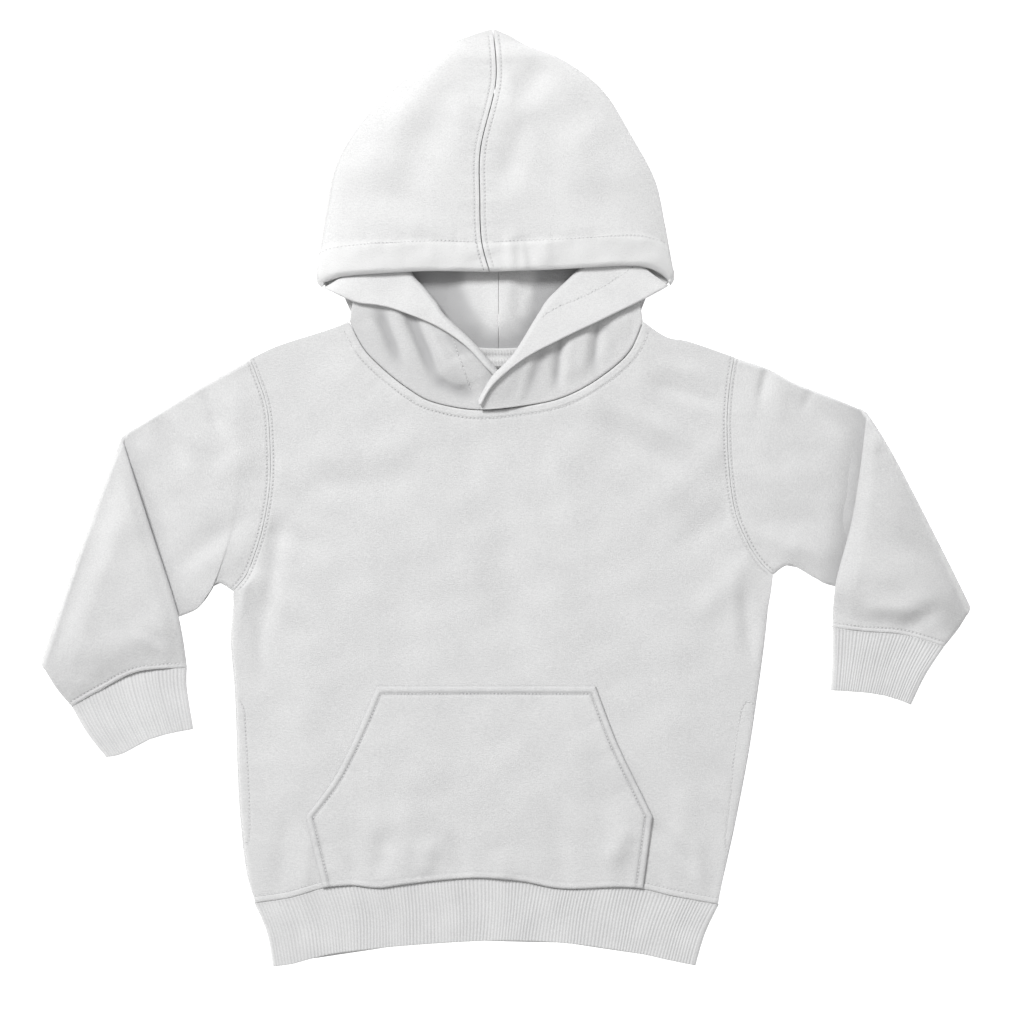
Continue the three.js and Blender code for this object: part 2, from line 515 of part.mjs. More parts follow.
// A sleeve is one flattened tube. It runs out to the crease, turns up and over, and comes back as the forearm.
function makeSleeve(side) {
  const outline = SLEEVES[side];
  const crease = smooth(outline.crease);
  const upperRegion = patch(smooth(outline.armhole), crease, smooth(outline.overarm), smooth(outline.underarm));
  const foreRegion = patch(
    crease, smooth(outline.cuffSeam), smooth(outline.innerForearm), smooth(outline.lowerForearm),
  );
  const underarm = smooth(outline.underarm).getPoints(60);
  const creaseLength = crease.getPointAt(0).distanceTo(crease.getPointAt(1));
  const reach = SLEEVE_FOLD_RADIUS + TUBE_HALF;

  // How high the forearm's middle lies: up on the upper sleeve, or down on the table past its underarm edge.
  const foreMiddle = (point) => {
    const nearest = underarm.reduce((a, b) => (a.distanceTo(point) < b.distanceTo(point) ? a : b));
    const past = nearest.y - point.y;
    return TUBE_HALF + 2 * SLEEVE_FOLD_RADIUS * (1 - smoothStep((past + 2) / FOREARM_DRAPE));
  };

  // Each layer starts beside its seam and ends where the bend begins.
  const upperPoint = (u, along) => {
    const length = upperRegion(u, 0).distanceTo(upperRegion(u, 1));
    return upperRegion(u, mix(2 * SEAM_GAP, length - reach, along) / length);
  };
  const forePoint = (u, along) => {
    const length = foreRegion(u, 0).distanceTo(foreRegion(u, 1));
    return foreRegion(u, mix(reach, length - SEAM_GAP, along) / length);
  };
  const rows = [];
  for (const along of fractions(SLEEVE_ROWS.upper)) rows.push({ along, turn: 0 });
  for (const part of fractions(SLEEVE_ROWS.bend).slice(1, -1)) rows.push({ along: 0, turn: part * Math.PI });
  for (const along of fractions(SLEEVE_ROWS.fore)) rows.push({ along, turn: Math.PI });

  const place = ({ along, turn }, u, height) => {
    if (turn === 0) return { point: upperPoint(u, along), middle: TUBE_HALF };
    if (turn === Math.PI) {
      const point = forePoint(u, along);
      return { point, middle: foreMiddle(point) };
    }
    const [under, over] = [upperPoint(u, 1), forePoint(u, 0)];
    const raised = (1 - Math.cos(turn)) / 2;
    const out = crease.getPointAt(u).sub(under.clone().add(over).divideScalar(2));
    const point = under.clone().lerp(over, raised);
    point.addScaledVector(out, (Math.sin(turn) * (SLEEVE_FOLD_RADIUS - height)) / reach);
    return { point, middle: mix(TUBE_HALF, foreMiddle(over), raised) };
  };
  const widthOf = ({ along, turn }) => {
    if (turn === 0) return upperPoint(0, along).distanceTo(upperPoint(1, along));
    return turn === Math.PI ? forePoint(0, along).distanceTo(forePoint(1, along)) : creaseLength;
  };
  const ring = (row, half, margin, topCount, bottomCount, folded) => {
    const width = widthOf(row);
    return ringStations(width, half, margin, topCount, bottomCount).map(({ across, height }) => {
      const { point, middle } = place(row, THREE.MathUtils.clamp(across / width, 0, 1), height);
      const fold = folded && row.turn === 0 && height > 0 ? foldHeight(SLEEVE_FOLDS, point.x, point.y) : 0;
      return new THREE.Vector3(point.x, point.y, middle + height * Math.cos(row.turn) + fold);
    });
  };
  const { outerTop, outerBottom, inner: innerCount } = SLEEVE_RING;
  const outer = rows.map((row) => ring(row, TUBE_HALF, 0, outerTop, outerBottom, true));
  const inner = rows.map((row) => ring(row, TUBE_AIR, CLOTH, innerCount, innerCount, false));
  return tubeWall(outer, inner).mesh("sleeve_" + side, fleece);
}

function makeCuff(side) {
  const { cuffSeam, cuffBottom, cuffInner, cuffOuter } = SLEEVES[side];
  const region = patch(smooth(cuffSeam), smooth(cuffBottom), smooth(cuffInner), smooth(cuffOuter));
  return ribbedTube("cuff_" + side, region, CUFF_RIBS);
}

// Half of the hood's outer: domed top, rounded side fold, and the flat back layer down to the neck.
function makeCrown(side) {
  const outline = CROWNS[side];
  const topRegion = patch(
    smooth(outline.start), smooth(outline.brim), smooth(outline.topSeam), smooth(outline.outline),
  );
  const backRegionOfHood = patch(
    smooth(outline.backStart), smooth(outline.backEnd), smooth(outline.outline), smooth(outline.backSeam),
  );
  const radius = HOOD_EDGE_RADIUS;
  const section = (v, offset) => {
    const points = [];
    const topWidth = rowWidth(topRegion, v);
    const backWidth = rowWidth(backRegionOfHood, v);
    const inset = Math.min(radius / topWidth, 0.4);
    for (const u of fractions(CROWN_GRID.top, 0, 1 - inset)) {
      const point = topRegion(u, v);
      const rise = crownColumn("rise", v) * (1 - (u / (1 - inset)) ** crownColumn("square", v));
      const folds = foldHeight(HOOD_FOLDS, point.x, point.y) * smoothStep((1 - u) / 0.3);
      points.push(new THREE.Vector3(point.x, point.y, 2 * radius + rise + folds - offset));
    }
    const centre = topRegion(1 - inset, v);
    const outward = topRegion(1, v).sub(centre).normalize();
    for (const angle of ROUND_EDGE) {
      const point = centre.clone().addScaledVector(outward, (radius - offset) * Math.cos(angle));
      points.push(new THREE.Vector3(point.x, point.y, radius + (radius - offset) * Math.sin(angle)));
    }
    for (const u of fractions(CROWN_GRID.back, Math.min(radius / backWidth, 0.4), 1)) {
      const point = backRegionOfHood(u, v);
      points.push(new THREE.Vector3(point.x, point.y, offset));
    }
    return points;
  };
  const outer = fractions(CROWN_GRID.rows).map((v) => section(v, 0));
  const inner = fractions(CROWN_GRID.rows).map((v) => section(v, CLOTH));
  return sheetWall(outer, inner).mesh("hood_outer_" + side, fleece);
}

// Lining that shows inside the hood, lying on the back layer from under the brim to the neck.
function makeBackLining(side) {
  const { top, halfWidth, middle, neck, neckRise } = BACK_LINING;
  const sign = side === "left" ? -1 : 1;
  const neckY = (x) => neck + neckRise * ((x - middle) / halfWidth) ** 2;
  const base = CLOTH + SEAM_GAP;
  const grid = (offset) =>
    fractions(BACK_LINING_GRID.rows).map((v) =>
      fractions(BACK_LINING_GRID.columns).map((u) => {
        const x = middle + sign * mix(SEAM_GAP, halfWidth, u);
        return new THREE.Vector3(x, mix(neckY(x), top, v), base + offset);
      }),
    );
  return sheetWall(grid(HOOD_CLOTH), grid(0)).mesh("hood_lining_back_" + side, lining);
}

// A flap's section: the middle of its two cloths, from the neck seam over the ridge to the lip.
function flapSection(rows, place) {
  const at = (name) => column(rows, name, place);
  const neck = new THREE.Vector2(at("neckX"), at("neckY"));
  const ridge = new THREE.Vector2(at("ridgeX"), at("ridgeY"));
  const lip = new THREE.Vector2(at("lipX"), at("lipY"));
  const toRidge = ridge.clone().sub(neck).normalize();
  const turn = ridge.clone().addScaledVector(toRidge, -FLAP_FOLD_RADIUS - FLAP_HALF);
  const low = at("ridgeZ") - 2 * FLAP_FOLD_RADIUS;
  const points = [];
  for (const t of fractions(FLAP_STEPS.neck)) {
    const plan = neck.clone().lerp(turn, t);
    const fold = foldHeight(FLAP_FOLDS, plan.x, plan.y) * smoothStep(t / 0.3) * smoothStep((1 - t) / 0.4);
    points.push(new THREE.Vector3(plan.x, plan.y, mix(at("neckZ"), low, smoothStep(t)) + fold));
  }
  for (const angle of ROUND_EDGE.toReversed()) {
    const plan = turn.clone().addScaledVector(toRidge, FLAP_FOLD_RADIUS * Math.cos(angle));
    points.push(new THREE.Vector3(plan.x, plan.y, low + FLAP_FOLD_RADIUS * (1 + Math.sin(angle))));
  }
  for (const t of fractions(FLAP_STEPS.lip)) {
    const plan = turn.clone().lerp(lip, t);
    points.push(new THREE.Vector3(plan.x, plan.y, at("ridgeZ")));
  }
  return points;
}

// Points moved off a flap's middle by a distance, along its normal.
function offsetGrid(sections, distance) {
  return sections.map((row, i) =>
    row.map((point, j) => {
      const along = row[Math.min(j + 1, row.length - 1)].clone().sub(row[Math.max(j - 1, 0)]);
      const across = sections[Math.min(i + 1, sections.length - 1)][j].clone().sub(sections[Math.max(i - 1, 0)][j]);
      const normal = along.cross(across).normalize();
      return point.clone().addScaledVector(normal, distance);
    }),
  );
}

// The hood's lower front: an outer cloth and a lining that turn over the ridge together.
function makeFlap(side) {
  const rows = FLAPS[side];
  const count = (rows.length - 1) * FLAP_STEPS.betweenRows;
  const sections = fractions(count).map((place) => flapSection(rows, place));
  const turnsIn = side === "left" ? 1 : -1;
  const near = (SEAM_GAP / 2) * turnsIn;
  const far = FLAP_HALF * turnsIn;
  const outer = sheetWall(offsetGrid(sections, near), offsetGrid(sections, far));
  const cut = sections.map((row) => row.slice(FLAP_STEPS.liningFrom));
  const inside = sheetWall(offsetGrid(cut, -near), offsetGrid(cut, -far));
  return [
    outer.mesh("hood_front_outer_" + side, fleece),
    inside.mesh("hood_front_lining_" + side, lining),
  ];
}

const hoodie = new THREE.Group();
hoodie.name = "toddler_hoodie";
hoodie.add(makeBackPanel(), makeFrontPanel(), makePocket(), makeHem());
for (const side of ["left", "right"]) {
  hoodie.add(makeSleeve(side), makeCuff(side), makeCrown(side), makeBackLining(side), ...makeFlap(side));
}

export default hoodie;
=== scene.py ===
import math

import bpy
import numpy as np
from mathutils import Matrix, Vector
from mathutils.bvhtree import BVHTree


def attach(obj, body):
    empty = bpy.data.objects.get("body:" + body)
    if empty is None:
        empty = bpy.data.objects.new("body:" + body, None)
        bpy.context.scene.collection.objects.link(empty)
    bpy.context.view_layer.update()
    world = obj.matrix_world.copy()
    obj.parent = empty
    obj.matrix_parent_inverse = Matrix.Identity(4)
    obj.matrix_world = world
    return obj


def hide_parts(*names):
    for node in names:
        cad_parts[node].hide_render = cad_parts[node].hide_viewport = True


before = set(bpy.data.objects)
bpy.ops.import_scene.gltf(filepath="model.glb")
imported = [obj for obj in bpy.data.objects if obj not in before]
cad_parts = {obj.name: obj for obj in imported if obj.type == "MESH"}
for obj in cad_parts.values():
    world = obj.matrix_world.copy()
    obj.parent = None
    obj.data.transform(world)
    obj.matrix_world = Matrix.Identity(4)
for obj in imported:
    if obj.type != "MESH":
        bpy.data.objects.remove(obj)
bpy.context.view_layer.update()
bpy.ops.object.select_all(action="DESELECT")
MM = 0.001

# Cloth, tubes and folds, as in the solids
CLOTH = 2.0
HOOD_CLOTH = 1.2
SEAM_GAP = 0.3
TUBE_HALF = 2.6
TUBE_AIR = TUBE_HALF - CLOTH
TUBE_TOP = 2 * TUBE_HALF
SLEEVE_FOLD_RADIUS = 2.95
FOREARM_DRAPE = {"left": 38, "right": 22}
HEM_RIBS = 134
CUFF_RIBS = 34
RIB_DEPTH = 0.3
BODY_LOFT = 1.9
NECK_LOFT = 1.7
NECK_LOFT_REACH = 34
EDGE_LOFT = TUBE_TOP - CLOTH - CLOTH - SEAM_GAP
POCKET_CLOTH = 1.6
POCKET_HEM = 4.4
HOOD_EDGE_RADIUS = 3.0
FLAP_FOLD_RADIUS = 1.6
FLAP_HALF = HOOD_CLOTH + SEAM_GAP / 2
BACK_PEEK = {"left": 1.6, "right": 0.9}

# Stitching
STITCH_PITCH = 2.4
ARMHOLE_STITCH = 2.0
NECK_STITCH = 5.2
HEM_STITCH = 4.2
CUFF_STITCH = 2.8
TOP_SEAM_STITCH = 2.9
BRIM_HEM = 18.5
WELT = 0.3
SEAM = 0.08
SIDE_INSET = 0.6
SEAM_ROLL = (0.5, 0.25)

# Outlines in plan, as x, y
ARMHOLES = {
    "left": [
        (-158, 86), (-154, 76), (-147.5, 56.5), (-145.5, 34.5), (-145.5, 9),
        (-149, -14.5), (-154, -32.5), (-160.5, -48.5), (-168.5, -58),
    ],
    "right": [
        (142, 87), (139, 68.5), (137.5, 45), (139, 15), (142.5, -8.5), (149.5, -26.5), (157.5, -39.5), (166, -48),
    ],
}
SIDES = {
    "left": [(-168.5, -58), (-169.5, -88.5), (-167, -122), (-164.5, -187.5), (-160, -231), (-155.5, -251)],
    "right": [(166, -48), (161, -88.5), (156, -125.5), (151, -159), (143, -201), (138, -224), (132.5, -252)],
}
SHOULDER_LEFT = [(-158, 86), (-139.5, 94.5), (-109.5, 104), (-96.5, 109)]
SHOULDER_RIGHT = [(85.5, 109), (100, 99.5), (114.5, 96.5), (142, 87)]
FRONT_NECK = [
    (-96.5, 109), (-87.5, 92), (-75, 79), (-59, 66.5), (-43.5, 58.5),
    (-15.5, 54), (18.5, 57.5), (39, 63), (59.5, 74.5), (77, 90), (85.5, 109),
]
BACK_NECK = [(-96.5, 109), (-77.5, 97.5), (-40.5, 86), (-6, 81.5), (28, 86), (65, 97.5), (85.5, 109)]
HEM_SEAM = [
    (-155.5, -251), (-134, -248), (-113, -242), (-95.5, -240.5), (-78, -242), (-59.5, -239.5), (-31.5, -236.5),
    (-10, -236), (11, -238), (36, -242.5), (69, -241.5), (85.5, -242.5), (105, -247), (132.5, -252),
]
HEM_BOTTOM = [
    (-144, -290.5), (-132, -289), (-119, -285.5), (-102.5, -282), (-59.5, -277.5), (-6, -274.5), (36.5, -276),
    (79.5, -282), (101, -286.5), (118, -290),
]
HEM_SIDES = {
    "left": [(-155.5, -251), (-147.5, -270), (-144, -290.5)],
    "right": [(132.5, -252), (124, -270), (118, -290)],
}
SLEEVES = {
    "left": {
        "overarm": [(-158, 86), (-192, 66.5), (-221.5, 48), (-237.5, 38)],
        "underarm": [
            (-168.5, -58), (-177.5, -53), (-185.5, -57.5), (-189, -67.5), (-202, -74), (-245, -88.5), (-287.5, -102),
        ],
        "crease": [(-237.5, 38), (-263, -31.5), (-287.5, -102)],
        "inner_forearm": [(-237.5, 38), (-220, -16.5), (-202.5, -71), (-197, -105.5)],
        "lower_forearm": [(-287.5, -102), (-278.5, -117), (-268.5, -129.5)],
        "cuff_seam": [(-197, -105.5), (-227.5, -108), (-251, -119.5), (-268.5, -129.5)],
        "cuff_inner": [(-197, -105.5), (-197, -118), (-193, -143.5)],
        "cuff_outer": [(-268.5, -129.5), (-259, -146), (-247, -161)],
        "cuff_bottom": [(-193, -143.5), (-217.5, -149), (-236, -158.5), (-247, -161)],
    },
    "right": {
        "overarm": [(142, 87), (163.5, 79.5), (180.5, 70.5), (204, 61.5), (224, 53)],
        "underarm": [(166, -48), (176.5, -42), (192, -50), (204, -55), (245, -61), (288.5, -68)],
        "crease": [(224, 53), (239.5, 28), (269, -29), (288.5, -68)],
        "inner_forearm": [(224, 53), (219.5, 17.5), (214, -16), (204.5, -52.5), (202.5, -80.5)],
        "lower_forearm": [(288.5, -68), (281, -81), (272, -92.5)],
        "cuff_seam": [(202.5, -80.5), (223, -83), (247, -85), (272, -92.5)],
        "cuff_inner": [(202.5, -80.5), (202.5, -100), (201.5, -119.5)],
        "cuff_outer": [(272, -92.5), (260.5, -110), (251.5, -128.5)],
        "cuff_bottom": [(201.5, -119.5), (223, -121), (237.5, -123.5), (251.5, -128.5)],
    },
}
CROWNS = {
    "left": {
        "start": [(-7.8, 290.2), (-20, 286.5)],
        "top_seam": [(-7.8, 290.2), (-6, 256.5), (-15.3, 215.5), (-15.8, 185), (-14.8, 158.5), (-9.8, 139)],
        "outline": [
            (-20, 286.5), (-34.5, 280.5), (-59, 262), (-88, 234), (-105, 206), (-111, 178), (-115.5, 150.5),
            (-117.2, 139), (-116.6, 133.5), (-113.8, 129.8),
        ],
        "brim": [(-9.8, 139), (-48.5, 139.5), (-80, 138), (-100, 136.5), (-110, 133.5), (-113.8, 129.8)],
        "back_start": [(-20, 286.5), (-7.8, 289.4)],
        "back_seam": [(-7.8, 289.4), (-5.3, 184.5), (-3, 138), (-6.3, 82.1)],
        "back_end": [
            (-113.8, 129.8), (-105.5, 128.5), (-97.5, 124), (-94, 110.8), (-77.5, 98.1), (-40.5, 86.6), (-6.3, 82.1),
        ],
    },
    "right": {
        "start": [(-7.2, 290.2), (6, 284.5)],
        "top_seam": [(-7.2, 290.2), (-5.4, 256.5), (-14.7, 215.5), (-15.2, 185), (-14.2, 158.5), (-9.2, 139)],
        "outline": [
            (6, 284.5), (12.5, 280.5), (36, 271), (60, 252.5), (77.5, 225), (92.5, 197), (99, 169), (103.5, 145),
            (104.9, 139), (104.6, 134.5), (102.5, 131),
        ],
        "brim": [(-9.2, 139), (31, 140.5), (78.5, 143), (94, 139.5), (100.5, 134.5), (102.5, 131)],
        "back_start": [(6, 284.5), (-7.2, 289.4)],
        "back_seam": [(-7.2, 289.4), (-4.7, 184.5), (-2.4, 138), (-5.7, 82.1)],
        "back_end": [(102.5, 131), (91, 129), (85.5, 124), (82.5, 111), (65, 98.1), (28, 86.6), (-5.7, 82.1)],
    },
}
# Place along the crown, rise above its outline, and how square its shoulders are
CROWN_RISE = np.array([(0, 0, 2.5), (0.15, 5, 2.5), (0.4, 10, 2.5), (0.7, 11.5, 3.5), (1, 11, 6)])

# Sections of the hood's lower fronts: neck seam x, y; ridge x, y; face edge x, y; height at the neck, at the ridge
FLAPS = {
    "left": np.array([
        (-9, 54.9, 2, 71.5, -0.5, 67.9, 6.1, 8.5),
        (-20, 55.1, -4.5, 79, -6.9, 75.3, 6.1, 9.3),
        (-32, 56.4, -10, 85, -12.9, 81.4, 6.1, 11.4),
        (-49.8, 61.9, -20.5, 97, -24.5, 93.6, 6.3, 13),
        (-74.4, 79.5, -36.5, 112, -42, 105.5, 6.3, 13),
        (-86.9, 92.6, -42, 120, -65, 115, 6.6, 12.4),
        (-92.5, 102, -49.5, 129.5, -78, 118.5, 6.9, 11.6),
        (-95.5, 111, -56, 136.5, -92, 120.5, 7.3, 11),
        (-93.5, 124, -62, 148, -107, 127, 7.0, 10.2),
        (-93.5, 130, -66, 158, -111.5, 129.4, 7.0, 8.8),
    ]),
    "right": np.array([
        (-15, 55.0, -15.9, 60.5, -14.4, 57.4, 8.9, 12.6),
        (-2, 56, -8, 74.5, -6.5, 70, 9.0, 15.2),
        (18.7, 58.3, 5.5, 89, 12, 85.4, 6.2, 15.2),
        (38.2, 63.9, 18, 109, 36.5, 98.5, 5.8, 14),
        (58.5, 75.3, 26.5, 122.5, 56.5, 108, 5.8, 13),
        (76, 91.3, 38, 134, 75, 117, 5.9, 11.4),
        (84.3, 109, 47, 143, 87, 123, 6.4, 11),
        (83, 122, 54, 152, 97, 128.4, 7.0, 10.2),
        (83, 128, 60, 162, 100.8, 130.6, 7.0, 8.8),
    ]),
}
BACK_LINING_TOP = 165
BACK_LINING_HALF_WIDTH = 84
POCKET = {
    "top": [(-79.5, -116.5), (56, -116.5)],
    "left": [(-79.5, -116.5), (-91, -144), (-106, -174), (-123.5, -197.5)],
    "right": [(56, -116.5), (69.5, -152), (84, -182), (91.5, -197.5)],
}

# Soft folds, each a ridge or a trough: from x, y, to x, y, width, height
BODY_FOLDS = [
    (-143, 20, -96, -8, 9, 0.9), (-146, -20, -112, -30, 7, -0.7), (-158, -46, -120, -78, 8, 1.1),
    (-154, -66, -150, -110, 5, -0.8), (136, 30, 92, -4, 10, 0.9), (140, -8, 104, -30, 8, -0.8),
    (152, -38, 118, -74, 8, 1.1), (-66, 66, -40, 22, 11, 0.7), (60, 66, 34, 8, 12, 0.8), (-10, 30, -14, -60, 16, 0.7),
    (-96, -205, -93, -238, 7, -0.7), (-60, -195, -62, -236, 9, 0.8), (32, -200, 36, -240, 7, -0.7),
    (70, -196, 66, -238, 8, 0.8), (112, -180, 104, -240, 10, 0.9),
]
BODY_CREASES = [
    (9, -11, 50, -95, 13, 1.5), (-9, -14, 16, -101, 14, -1.2), (-127, 3, -53, 15, 8, -0.9), (-120, 22, -60, 32, 9, 0.6),
    (59, 45, 115, 14, 7, -1.1), (74, 54, 124, 30, 6, 1.1), (93, 70, 130, 59, 5, -1.1), (96, 82, 126, 76, 5, 0.8),
    (-140, -22, -150, -88, 5.5, -1.8), (-157, -24, -167, -84, 4.5, 1.2), (148, -60, 152, -96, 5, -1.2), (142, -54, 143, -92, 5, 0.7),
    (-50, -231, -46, -213, 6, 1.4), (-77, -230, -74, -208, 6, -1.1), (-27, -232, -31, -208, 6, -1.1),
    (0, -236, -3, -220, 7, 0.9), (76, -206, 66, -226, 6, 1.1), (93, -204, 115, -230, 5, -1.6),
    (118, -214, 122, -240, 5, 1.1), (-136, -206, -140, -244, 6, -0.9), (-122, -214, -124, -242, 5, 0.9),
    (-120, -90, -128, -190, 16, 0.9), (104, -80, 112, -160, 14, 0.8), (-60, -60, -66, -110, 14, -0.7),
    (20, -30, 46, -60, 5, 0.5), (-24, 20, -12, -30, 7, -0.5), (30, 30, 44, -10, 7, 0.5), (-100, 60, -84, 20, 9, -0.5),
    (-84, -140, -76, -190, 10, 0.5), (40, -130, 52, -190, 10, 0.6), (-30, -140, -34, -200, 12, -0.5), (10, -150, 16, -200, 9, 0.4),
]
UPPER_SLEEVE_FOLDS = [
    (-190, 64, -172, 36, 4.5, -0.6), (-152, 30, -188, 10, 8, 0.6), (-156, -20, -196, -48, 6, 0.6),
    (164, 78, 156, 48, 4.5, -0.6), (144, 20, 184, 4, 8, 0.6), (152, -22, 194, -36, 6, 0.6),
    (-199, -40, -166, -16, 8, -1.3), (-174, -46, -158, -30, 6, 0.9), (-186, 66, -176, 42, 3.5, -1.2),
    (-214, 46, -199, 23, 6, -1.0), (-205, 50, -190, 30, 5, 0.8), (-168, 60, -160, 20, 7, 0.6),
    (-234, 30, -200, -67, 10, -1.2), (-176, 30, -190, 0, 7, -0.5),
    (177, -30, 202, -39, 7, 1.2), (158, -14, 198, -14, 8, -1.1), (162, 79, 158, 62, 2.6, -1.3), (168, 76, 164, 58, 4, 0.6),
    (183, 62, 208, 40, 6, -0.9), (172, 70, 168, 46, 5, 0.8), (196, 62, 214, 46, 4, 0.7), (225, 51, 212, -51, 12, -2.4),
    (190, 66, 184, 54, 3, -0.7), (176, 20, 200, 8, 7, 0.6),
]
FOREARM_FOLDS = [
    (239, 11, 250, -25, 10, 1.3), (216, -57, 252, -60, 7, -1.0), (226, -69, 256, -70, 5, 1.2), (248, -80, 270, -67, 6, -1.6),
    (228, -20, 262, -40, 9, -0.8), (230, 28, 236, 26, 3, -0.8), (-238, -10, -250, -60, 12, 0.9), (-215, -60, -236, -86, 9, -0.5),
    (-262, -78, -252, -104, 8, 0.8), (-226, -86, -210, -97, 4, 0.6), (-224, -81, -208, -91, 4, -0.5), (-254, -30, -268, -70, 7, -0.5),
]
CROWN_FOLDS = [
    (8, 150, 10, 122, 7, 1.2), (-52, 236, -40, 196, 16, 1.0), (52, 214, 34, 170, 16, 1.0),
    (-31, 271, -74, 222, 13, 1.6), (-40, 243, -62, 191, 14, -2.2), (-28, 244, -27, 214, 8, 0.9),
    (22, 264, 10, 245, 8, -1.5), (2, 262, 3, 242, 5, 0.7), (40, 216, 66, 234, 10, 1.0), (10, 228, -2, 190, 8, -1.3),
    (-99, 194, -46, 176, 9, -1.0), (-90, 214, -60, 200, 9, 0.8), (26, 200, 62, 176, 9, -1.0), (70, 200, 84, 176, 9, 0.7),
    (13, 160, 17, 140, 3, -1.1), (2, 160, 4, 138, 3, 0.9), (8, 158, 9, 140, 2.2, -0.6), (-60, 168, -30, 164, 7, 0.5),
    (40, 166, 84, 160, 6, 0.5), (24, 158, 26, 142, 4, 0.7),
]
FLAP_FOLDS = [
    (-67, 113, -51, 77, 5, 1.6), (-60, 114, -44, 76, 6, -3.2), (-50, 110, -33, 74, 5, 2.2), (-40, 72, -20, 63, 5, -2.0), (46, 102, 44, 70, 5, 1.6),
    (24, 92, 12, 66, 6, -1.4), (70, 112, 62, 84, 6, 1.2),
    (-77, 113, -66, 84, 4.5, -2.0), (-30, 84, -24, 72, 8, 1.0), (-36, 100, -24, 90, 5, -0.9), (34, 98, 31, 66, 3.5, -1.8), (57, 106, 54, 76, 3.5, -1.8),
    (15, 84, 9, 60, 3, 1.2), (64, 104, 70, 90, 3, -1.2), (-86, 106, -80, 94, 4, 1.0),
    (40, 98, 38, 70, 3, 1.2), (51, 104, 49, 74, 3, 1.2), (76, 112, 76, 98, 3, 1.0),
]
LAPEL_FOLDS = [
    (-60, 128, -46, 108, 5, 0.6), (-74, 128, -66, 114, 5, -0.5), (40, 128, 52, 108, 5, 0.6), (62, 138, 70, 116, 6, -0.5),
]
BACK_LINING_FOLDS = [
    (-26, 134, -20, 104, 5, 0.9), (-14, 138, -10, 100, 5, -0.8), (4, 140, 0, 104, 5, 0.7), (10, 134, 8, 104, 4, -0.8),
]
# The hollow of the hood's back puffs up between its seams: left, right, bottom and top in plan, and its height
BACK_PUFF = (-36, 20, 88, 150, 5.2)


def mix(a, b, t):
    return a + (b - a) * t


def soft_step(t):
    t = np.clip(t, 0, 1)
    return t * t * (3 - 2 * t)


def fold_height(folds, plan):
    """Height that the folds in a table add at points in plan."""
    height = np.zeros(plan.shape[:-1])
    for from_x, from_y, to_x, to_y, width, rise in folds:
        dx, dy = to_x - from_x, to_y - from_y
        x, y = plan[..., 0] - from_x, plan[..., 1] - from_y
        along = np.clip((x * dx + y * dy) / (dx * dx + dy * dy), -0.3, 1.3)
        across = np.hypot(x - along * dx, y - along * dy)
        taper = soft_step((along + 0.3) / 0.5) * soft_step((1.3 - along) / 0.7)
        height += rise * taper * np.exp(-((across / width) ** 2))
    return height


# Waves that make a laid cloth uneven: direction in degrees, length and phase
UNEVEN_WAVES = [(12, 31, 0.4), (71, 43, 2.1), (134, 27, 4.0), (158, 57, 1.3), (42, 19, 5.2), (101, 23, 0.9), (97, 71, 3.3)]


def uneven(plan, height, size=1.0):
    """Slight waves of a laid cloth."""
    total = np.zeros(plan.shape[:-1])
    for degrees, length, phase in UNEVEN_WAVES:
        angle = math.radians(degrees)
        along = plan[..., 0] * math.cos(angle) + plan[..., 1] * math.sin(angle)
        total += np.sin(2 * math.pi * along / (length * size) + phase)
    return total * height / len(UNEVEN_WAVES) ** 0.5


def roll(distance, reach, depth):
    """How far a rounded edge drops at a distance from the edge."""
    left = np.clip(1 - distance / reach, 0, 1)
    return depth * (1 - np.sqrt(1 - left * left))


class Curve:
    """A smooth line in plan through one or more runs of points, with a corner between runs."""

    def __init__(self, *runs, steps=14):
        parts = []
        t = np.linspace(0, 1, steps, endpoint=False)[:, None]
        for run in runs:
            knots = np.array(run, float)
            knots = np.vstack([knots[:1], knots, knots[-1:]])
            for a, b, c, d in zip(knots, knots[1:], knots[2:], knots[3:]):
                leave, arrive = (c - a) / 2, (d - b) / 2
                cube = 2 * b - 2 * c + leave + arrive
                square = 3 * c - 3 * b - 2 * leave - arrive
                parts.append(((cube * t + square) * t + leave) * t + b)
        parts.append(np.array(runs[-1][-1:], float))
        self.points = np.vstack(parts)
        self.lengths = np.concatenate([[0], np.cumsum(np.hypot(*np.diff(self.points, axis=0).T))])
        self.length = self.lengths[-1]

    def at(self, t):
        place = np.asarray(t, float) * self.length
        return np.stack([np.interp(place, self.lengths, self.points[:, axis]) for axis in (0, 1)], -1)

    def near(self, plan):
        """For points in plan: the distance to the line, and how far along it the nearest place lies."""
        flat = plan.reshape(-1, 2)
        distance = np.full(len(flat), 1e9)
        along = np.zeros(len(flat))
        for start, step, before in zip(self.points, np.diff(self.points, axis=0), self.lengths):
            from_start = flat - start
            t = np.clip(from_start @ step / max(step @ step, 1e-9), 0, 1)
            gap = np.hypot(*(from_start - t[:, None] * step).T)
            closer = gap < distance
            distance = np.where(closer, gap, distance)
            along = np.where(closer, before + t * math.hypot(*step), along)
        return distance.reshape(plan.shape[:-1]), along.reshape(plan.shape[:-1])

    def beside(self, distance, start=0.0, end=1.0):
        """The line moved sideways, to its left where distance is positive, as a new line."""
        t = np.linspace(start, end, max(int(self.length * (end - start) / 6), 4))
        step = self.at(np.clip(t + 0.01, 0, 1)) - self.at(np.clip(t - 0.01, 0, 1))
        step /= np.linalg.norm(step, axis=1)[:, None]
        moved = self.at(t) + distance * np.stack([-step[:, 1], step[:, 0]], -1)
        return Curve([tuple(point) for point in moved], steps=4)


